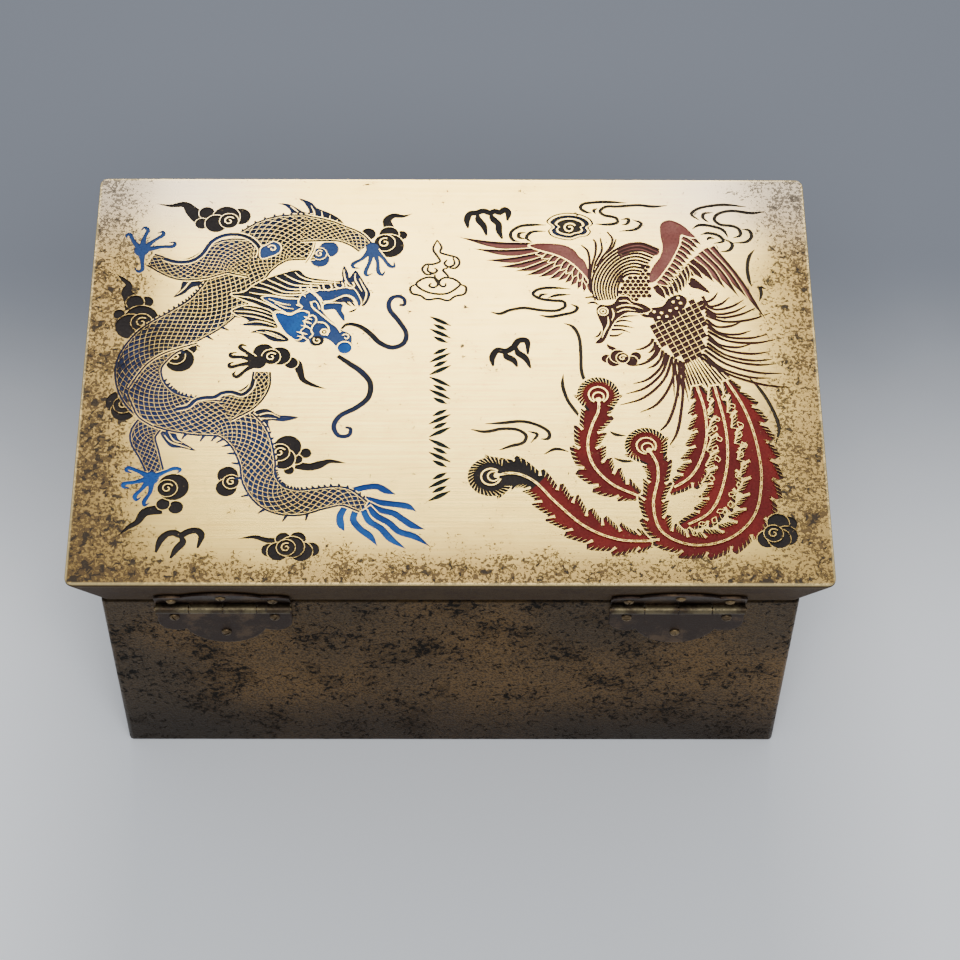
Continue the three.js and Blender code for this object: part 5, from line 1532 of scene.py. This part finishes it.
# %% Draw it all, from the back to the front
clouds_and_marks()
stroke_column()
tail()
tufts()
dragon_body()
claws()
head()
wisps()
plumes()
wings()
breast()
neck_and_head()
print("drawing:", len(steps), "steps")

# %% [markdown]
# ## From the drawing to metal
# Cutting thousands of pockets with booleans would be slow and fragile. A constrained triangulation
# splits the plate along every outline in one go. The last step that covers a triangle's middle then
# gives it its colour. Sunk triangles go down, and a wall closes each border.

# %% Engraved sheet
FILL_DEPTH = 0.38
WALL_LEAN = 0.05
CELL = 3.0


def engraved_sheet(edge, drawing):
    """The plate split along every outline, as places and triangles in millimetres."""
    corners, edges = [], []
    for path in [edge + edge[:1]] + [path for outlines, _, _ in drawing for path in outlines]:
        start = len(corners)
        corners += [Vector((p.x, p.y)) for p in path]
        edges += [(i, i + 1) for i in range(start, len(corners) - 1)]
    flat, _, triangles, *_ = delaunay_2d_cdt(corners, edges, [], 0, 0.003, False)
    return flat, triangles


def painted(flat, triangles, drawing):
    """For each triangle, the colour of the last step that covers its middle."""
    covers = {}
    for _, pieces, paint in drawing:
        for piece in pieces:
            low, high = ([limit(p[k] for p in piece) for k in (0, 1)] for limit in (min, max))
            for i in range(int(low[0] // CELL), int(high[0] // CELL) + 1):
                for j in range(int(low[1] // CELL), int(high[1] // CELL) + 1):
                    covers.setdefault((i, j), []).append((piece, paint))
    chosen = []
    for triangle in triangles:
        middle = sum((flat[i] for i in triangle), Vector((0, 0))) / 3
        found = "brass"
        for piece, paint in reversed(covers.get((int(middle.x // CELL), int(middle.y // CELL)), [])):
            if intersect_point_tri_2d(middle, *piece):
                found = paint
                break
        chosen.append(found)
    return chosen


flat, triangles = engraved_sheet(PLATE_EDGE, steps)
chosen = painted(flat, triangles, steps)
print("plate:", len(flat), "places,", len(triangles), "triangles")

# %% Sink the fills and close the walls
owner = {}
for number, triangle in enumerate(triangles):
    for a, b in zip(triangle, triangle[1:] + triangle[:1]):
        owner[a, b] = number


def sunk(number):
    return number is not None and chosen[number] != "brass"


borders = [ends for ends, number in owner.items() if sunk(number) and not sunk(owner.get(ends[::-1]))]
walls_at = Counter(end for ends in borders for end in ends)


def patch(index, number):
    """Tells apart the patches of fill that touch in one place, by the last triangle on the way round."""
    if walls_at[index] <= 2:
        return 0
    first = number
    while True:
        triangle = triangles[number]
        following = owner.get((index, triangle[triangle.index(index) - 1]))
        if not sunk(following) or following == first:
            return number
        number = following


lean = {}
for a, b in borders:
    way = (flat[b] - flat[a]).normalized()
    for end in (a, b):
        foot = end, patch(end, owner[a, b])
        lean[foot] = lean.get(foot, Vector((0, 0))) + Vector((-way.y, way.x))

shift = {foot: way.normalized() * WALL_LEAN for foot, way in lean.items() if way.length > 0.01}
for turn in range(3):
    for number in filter(sunk, range(len(triangles))):
        feet = [(i, patch(i, number)) for i in triangles[number]]
        a, b, c = (flat[foot[0]] + shift.get(foot, Vector((0, 0))) for foot in feet)
        if (b - a).cross(c - a) <= 0:
            for foot in feet:
                if foot in shift:
                    shift[foot] = shift[foot] / 4

sheet_corners, place_of = [], {}


def corner(index, number=None):
    """A place of the sheet: on top, or at the foot of the walls round a sunk triangle."""
    key = (index,) if number is None else (index, patch(index, number))
    if key not in place_of:
        place_of[key] = len(sheet_corners)
        at = flat[index] + shift.get(key, Vector((0, 0)))
        sheet_corners.append((at.x * MM, at.y * MM, (PLATE_TOP - (0 if number is None else FILL_DEPTH)) * MM))
    return place_of[key]


sheet_faces, sheet_paints = [], []
for number, (triangle, paint) in enumerate(zip(triangles, chosen)):
    sheet_faces.append([corner(i, number if sunk(number) else None) for i in triangle])
    sheet_paints.append(PAINTS.index(paint))
for a, b in borders:
    number = owner[a, b]
    sheet_faces.append([corner(b, number), corner(a, number), corner(a), corner(b)])
    sheet_paints.append(PAINTS.index(chosen[number]))
picture = bpy.data.meshes.new("picture")
picture.from_pydata(sheet_corners, [], sheet_faces)
for paint in PAINTS:
    picture.materials.append(FILLS[paint])
picture.polygons.foreach_set("material_index", sheet_paints)
picture.update()
sheet = bpy.data.objects.new("picture", picture)
bpy.context.collection.objects.link(sheet)
print("sheet:", len(sheet_corners), "corners,", len(sheet_faces), "faces,", len(borders), "walls")

# %% Join the sheet to the shell
smooth_by_angle(lid)
for paint in PAINTS:
    lid.data.materials.append(FILLS[paint])
joined(lid, sheet)
bpy.ops.object.mode_set(mode="EDIT")
bpy.ops.mesh.select_all(action="SELECT")
bpy.ops.mesh.remove_doubles(threshold=0.0005 * MM)
edit_done()
open_edges = bmesh.new()
open_edges.from_mesh(lid.data)
loose = sum(len(e.link_faces) != 2 for e in open_edges.edges)
open_edges.free()
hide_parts("lid")
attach(lid, "lid")
print("lid:", len(lid.data.polygons), "faces, edges without two faces:", loose)

# %% [markdown]
# ### A map of the lid
# Files for other programs keep a finish as a picture, so the lid gets a map that gives the drawing
# even room. The sheet lies on it as seen from above, and the shell is unwrapped into the rest.

# %% Map of the lid
MAP_SIDE = 0.24
SHELL_ROOM = 0.42
lid.data.uv_layers.new(name="OFBake")
sheet_foot = (PLATE_TOP - FILL_DEPTH - 0.02) * MM
on_sheet = [all(lid.data.vertices[i].co.z > sheet_foot for i in face.vertices) for face in lid.data.polygons]
select_faces(lid, lambda face: not on_sheet[face.index])
bpy.ops.uv.smart_project(angle_limit=math.radians(66), island_margin=0.01)
edit_done()
lid_map = lid.data.uv_layers["OFBake"].data
for face in lid.data.polygons:
    for loop in face.loop_indices:
        if on_sheet[face.index]:
            at = lid.data.vertices[lid.data.loops[loop].vertex_index].co
            lid_map[loop].uv = ((at.x + LID_SIZE.x / 2) / MAP_SIDE, (at.y + LID_SIZE.y / 2) / MAP_SIDE)
        else:
            u, v = lid_map[loop].uv
            lid_map[loop].uv = (u, 1 - SHELL_ROOM + v * SHELL_ROOM)
print("lid map:", sum(on_sheet), "faces from above,", len(on_sheet) - sum(on_sheet), "unwrapped")

# %% [markdown]
# ## Hinges
# Each hinge has two scalloped leaves. The lower one lies on the body's back and the upper one on
# the lid's slope. Strips of the leaf roll round a pin as knuckles, by turns from either leaf. A
# circle whose points are moved onto the scalloped outline gives the leaf, extruding gives its
# thickness, and Spin rolls the knuckles out of the strip's end, much as the real sheet is rolled.

# %% Hinge sizes
HINGE_SPREAD = 121 * MM
LEAF_WIDTH = 36 * MM
LEAF_SHEET = 0.8 * MM
LEAF_GAP = 0.2 * MM
LOWER_START = 0.6 * MM
LOWER_DROP = 20.6 * MM
UPPER_RISE = 12 * MM
LOBE_RADIUS = 4.8 * MM
LOBE_DROP = 9.3 * MM
CUSP_ANGLE = math.pi * 0.68
KNUCKLE_BORE = 0.75 * MM
WEB_SHEET = KNUCKLE_RADIUS - KNUCKLE_BORE - 0.04 * MM
KNUCKLES = 4
KNUCKLE_GAP = 0.35 * MM
PIN_RADIUS = 0.6 * MM
SLOPE_ANGLE = math.atan2(LID_SIZE.x - BODY_SIZE.x, 2 * (slope_top - lid_low.z))
HANGING = Matrix.Rotation(math.pi, 4, "Y")
LEANING = Matrix.Translation((0, 0, lid_low.z - body_high.z)) @ Matrix.Rotation(SLOPE_ANGLE, 4, "X")
print("the lid's sides lean by", round(math.degrees(SLOPE_ANGLE), 1), "degrees")


# %% Leaf plates
def leaf_outline(start, length):
    """The scalloped outline: across and away from the pin."""
    squeeze = length / LOWER_DROP
    lobe_x = LEAF_WIDTH / 2 - LOBE_RADIUS
    cusp_x = lobe_x + LOBE_RADIUS * math.cos(CUSP_ANGLE)
    cusp_z = LOBE_DROP + LOBE_RADIUS * math.sin(CUSP_ANGLE)
    rise = LOWER_DROP - cusp_z
    tip_radius = (cusp_x ** 2 + rise ** 2) / (2 * rise)
    tip_z = LOWER_DROP - tip_radius
    tip_angle = math.atan2(cusp_z - tip_z, cusp_x)
    right = [around((lobe_x, LOBE_DROP), LOBE_RADIUS, CUSP_ANGLE * i / 10) for i in range(11)]
    sweep = math.pi / 2 - tip_angle
    right += [around((0, tip_z), tip_radius, tip_angle + sweep * i / 9) for i in range(1, 9)]
    left = [(-x, z) for x, z in right[::-1]]
    corners = [(-LEAF_WIDTH / 2, start / squeeze), (LEAF_WIDTH / 2, start / squeeze)]
    return [(x, z * squeeze) for x, z in corners + right + [(0, LOWER_DROP)] + left]


def leaf_plate(name, start, length):
    outline = leaf_outline(start, length)
    bpy.ops.object.select_all(action="DESELECT")
    bpy.ops.mesh.primitive_circle_add(vertices=len(outline), radius=LEAF_WIDTH, fill_type="NGON")
    leaf = settled(started(name))
    for vertex, (x, z) in zip(leaf.data.vertices, outline):
        vertex.co = (x, -LEAF_GAP, z)
    select_faces(leaf, lambda face: True)
    bpy.ops.mesh.extrude_region_move(TRANSFORM_OT_translate={"value": (0, -LEAF_SHEET, 0)})
    bpy.ops.mesh.select_all(action="SELECT")
    bpy.ops.mesh.normals_make_consistent(inside=False)
    edit_done()
    finished_with(leaf, "BEVEL", width=0.22 * MM, segments=2, limit_method="ANGLE",
                  angle_limit=math.radians(50))
    return leaf


# %% Knuckles
def knuckle(name, start, end, web_z, upper):
    """A rolled strip round the pin, and the flat strip that feeds it."""
    pin = Vector((0, -PIN_OUT, -PIN_DROP))
    bpy.ops.object.select_all(action="DESELECT")
    bpy.ops.mesh.primitive_plane_add(size=1)
    roll = settled(started(name))
    way = 1 if upper else -1
    corners = [(start, KNUCKLE_BORE), (end, KNUCKLE_BORE), (start, KNUCKLE_RADIUS), (end, KNUCKLE_RADIUS)]
    for vertex, (x, radius) in zip(roll.data.vertices, corners):
        vertex.co = pin + Vector((x, 0, way * radius))
    select_faces(roll, lambda face: True)
    bpy.ops.mesh.spin(steps=24, angle=math.radians(-way * 320), center=pin, axis=(1, 0, 0))
    bpy.ops.mesh.select_all(action="SELECT")
    bpy.ops.mesh.remove_doubles(threshold=0.001 * MM)
    bpy.ops.mesh.normals_make_consistent(inside=False)
    edit_done()
    web = block(name + "_web", (start, -PIN_OUT, web_z - WEB_SHEET / 2),
                (end, -LEAF_GAP, web_z + WEB_SHEET / 2))
    return joined(roll, web)


def spans(first):
    """The stretches of the pin that one leaf's knuckles take."""
    pitch = LEAF_WIDTH / KNUCKLES
    starts = [-LEAF_WIDTH / 2 + i * pitch for i in range(first, KNUCKLES, 2)]
    return [(s + KNUCKLE_GAP / 2, s + pitch - KNUCKLE_GAP / 2) for s in starts]


# %% [markdown]
# ## Screws and pins
# A screw head is half a ball, flattened, with a slot across it. A ball cut in two by Bisect gives
# the dome, and a Boolean takes the slot out. It is modelled once and copied, with its slot turned
# by chance as a hand leaves it.

# %% One screw
HEAD_RADIUS = 1.4 * MM
HEAD_HEIGHT = 0.8 * MM
SHANK_RADIUS = 0.6 * MM
SHANK_LENGTH = 1.9 * MM
SLOT_WIDTH = 0.42 * MM
SLOT_DEPTH = 0.38 * MM


def screw_pattern():
    bpy.ops.object.select_all(action="DESELECT")
    bpy.ops.mesh.primitive_uv_sphere_add(segments=28, ring_count=14, radius=HEAD_RADIUS)
    screw = settled(started("screw_pattern"))
    select_faces(screw, lambda face: True)
    bpy.ops.mesh.bisect(plane_co=(0, 0, 0), plane_no=(0, 0, 1), clear_inner=True, use_fill=True)
    bpy.ops.mesh.select_all(action="SELECT")
    bpy.ops.transform.resize(value=(1, 1, HEAD_HEIGHT / HEAD_RADIUS), center_override=(0, 0, 0))
    edit_done()
    select_faces(screw, lambda face: face.normal.z < -0.9 and abs(face.center.z) < 0.01 * MM)
    bpy.ops.mesh.inset(thickness=HEAD_RADIUS - SHANK_RADIUS)
    bpy.ops.mesh.extrude_region_move(TRANSFORM_OT_translate={"value": (0, 0, -SHANK_LENGTH)})
    edit_done()
    slot = block("slot", (-2 * HEAD_RADIUS, -SLOT_WIDTH / 2, HEAD_HEIGHT - SLOT_DEPTH),
                 (2 * HEAD_RADIUS, SLOT_WIDTH / 2, 2 * HEAD_HEIGHT))
    finished_with(screw, "BOOLEAN", operation="DIFFERENCE", object=slot, solver="EXACT")
    bpy.data.objects.remove(slot)
    finished_with(screw, "BEVEL", width=0.06 * MM, segments=1, limit_method="ANGLE",
                  angle_limit=math.radians(45))
    smooth_by_angle(screw, 40)
    screw.data.materials.append(SCREW_BRASS)
    return screw


pattern = screw_pattern()
print("screw:", len(pattern.data.polygons), "faces")

# %% Both hinges
SCREW_OFFSET = 13.4 * MM
SIDE_SHARE = 0.34
TIP_SHARE = 0.72
SEAT = LEAF_GAP + LEAF_SHEET + 0.1 * MM
chance = random.Random(7)


def placed(obj, matrix):
    """Moves a mesh to its place and leaves the object at the origin."""
    obj.matrix_world = matrix
    return settled(obj)


def hinge_leaf(side, which, turn, start, length, own, web_z, body_name, at):
    name = f"hinge_{side}_{which}_leaf"
    leaf = placed(leaf_plate("brass_" + name, start, length), turn)
    rolls = [knuckle(f"{name}_roll_{i}", *span, web_z, which == "upper") for i, span in enumerate(own)]
    joined(leaf, *rolls)
    placed(leaf, at)
    smooth_by_angle(leaf)
    leaf.data.materials.clear()
    leaf.data.materials.append(HINGE_BRONZE)
    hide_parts(name)
    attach(leaf, body_name)
    for i, (x, share) in enumerate(((-SCREW_OFFSET, SIDE_SHARE), (0, TIP_SHARE), (SCREW_OFFSET, SIDE_SHARE))):
        screw = pattern.copy()
        screw.data = pattern.data.copy()
        bpy.context.collection.objects.link(screw)
        screw.name = f"slotted_screw_{side}_{which}_{i + 1}"
        screw.data.name = screw.name
        slot_turn = Matrix.Rotation(chance.uniform(0, math.pi), 4, "Z")
        outwards = Matrix.Translation((x, -SEAT, length * share)) @ Matrix.Rotation(math.pi / 2, 4, "X")
        placed(screw, at @ turn @ outwards @ slot_turn)
        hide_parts(f"hinge_{side}_{which}_screw_{i + 1}")
        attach(screw, body_name)
    return leaf


def hinge_pin(side, at):
    half = LEAF_WIDTH / 2 + 0.3 * MM
    bpy.ops.object.select_all(action="DESELECT")
    bpy.ops.mesh.primitive_cylinder_add(vertices=20, radius=PIN_RADIUS, depth=2 * half)
    pin = started(f"round_pin_{side}")
    placed(pin, at @ Matrix.Translation((0, -PIN_OUT, -PIN_DROP)) @ Matrix.Rotation(math.pi / 2, 4, "Y"))
    finished_with(pin, "BEVEL", width=0.22 * MM, segments=3, limit_method="ANGLE",
                  angle_limit=math.radians(50))
    smooth_by_angle(pin, 40)
    pin.data.materials.append(SCREW_BRASS)
    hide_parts(f"hinge_{side}_pin")
    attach(pin, "box")


for side, sign in (("left", -1), ("right", 1)):
    at = Matrix.Translation((sign * HINGE_SPREAD / 2, BACK_Y, HINGE_Z))
    web_off = (KNUCKLE_RADIUS + KNUCKLE_BORE) / 2
    hinge_leaf(side, "lower", HANGING, LOWER_START, LOWER_DROP, spans(0), -PIN_DROP - web_off, "box", at)
    hinge_leaf(side, "upper", LEANING, 0, UPPER_RISE, spans(1), -PIN_DROP + web_off, "lid", at)
    hinge_pin(side, at)
bpy.data.objects.remove(pattern)
print("hinges: 4 leaves, 12 screws, 2 pins")

# %% [markdown]
# ## Stage, light and camera
# The box stands on a plain pale sheet, with a painted shade that turns it greyer behind the box. One
# wide soft light hangs behind and above, so that the polished lid mirrors it towards the camera, and
# a weak one in front opens up the dark side. The camera looks down on the hinge side.

# %% Floor
bpy.ops.object.select_all(action="DESELECT")
bpy.ops.mesh.primitive_plane_add(size=4)
floor = started("pale_floor")
floor_paper, tree, shader = finish("pale_paper")
where = put(tree, "TexCoord").outputs["Object"]
back = put(tree, "SeparateXYZ", {0: where}).outputs[1]
grain = noise(tree, where, 9, 4)
# Painted shade: the floor's colour turns greyer behind the box.
shade = between(tree, plus(tree, back, times(tree, grain, 0.02)), -0.03, 0.13)
tree.links.new(blended(tree, shade, colour(250, 252, 255), colour(123, 128, 138)),
               shader.inputs["Base Color"])
shader.inputs["Roughness"].default_value = 0.7
floor.data.materials.append(floor_paper)
print("floor laid")


# %% Lights
def soft_light(name, at, towards, size, power, tint=(1, 1, 1)):
    lamp = bpy.data.lights.new(name, "AREA")
    lamp.shape = "RECTANGLE"
    lamp.size, lamp.size_y = size
    lamp.energy = power
    lamp.color = tint
    obj = bpy.data.objects.new(name, lamp)
    bpy.context.collection.objects.link(obj)
    obj.location = at
    obj.rotation_euler = (Vector(towards) - Vector(at)).to_track_quat("-Z", "Y").to_euler()
    return obj


soft_light("back_softbox", (0.0, 0.72, 0.98), (0.0, 0.02, 0.09), (0.42, 0.22), 5, (1.0, 0.98, 0.95))
soft_light("front_fill", (0.1, -1.05, 1.4), (0, -0.1, 0), (1.2, 0.8), 15, (0.96, 0.98, 1.0))
world = bpy.data.worlds.new("studio") if not bpy.context.scene.world else bpy.context.scene.world
bpy.context.scene.world = world
world.use_nodes = True
backdrop = world.node_tree.nodes["Background"]
backdrop.inputs["Color"].default_value = (0.78, 0.82, 0.88, 1)
backdrop.inputs["Strength"].default_value = 0.55
print("lights set")

# %% Camera
FOCAL_PIXELS = 2775
FRAME_PIXELS = 960
PITCH, YAW, ROLL = (math.radians(v) for v in (56.76, 0.85, 0.80))
ahead = Vector((math.sin(YAW) * math.cos(PITCH), math.cos(YAW) * math.cos(PITCH), -math.sin(PITCH)))
right = Vector((math.cos(YAW), -math.sin(YAW), 0))
up = right.cross(ahead)
rolled_right = right * math.cos(ROLL) + up * math.sin(ROLL)
rolled_up = up * math.cos(ROLL) - right * math.sin(ROLL)
lens = bpy.data.cameras.new("camera")
lens.sensor_width = 36
lens.lens = lens.sensor_width * FOCAL_PIXELS / FRAME_PIXELS
lens.clip_start = 0.01
camera = bpy.data.objects.new("camera", lens)
bpy.context.collection.objects.link(camera)
turn = Matrix((rolled_right, rolled_up, -ahead)).transposed().to_4x4()
camera.matrix_world = Matrix.Translation(Vector((1.73, -438.2, 714.2)) * MM) @ turn
bpy.context.scene.camera = camera
print("camera at", [round(v, 3) for v in camera.location])
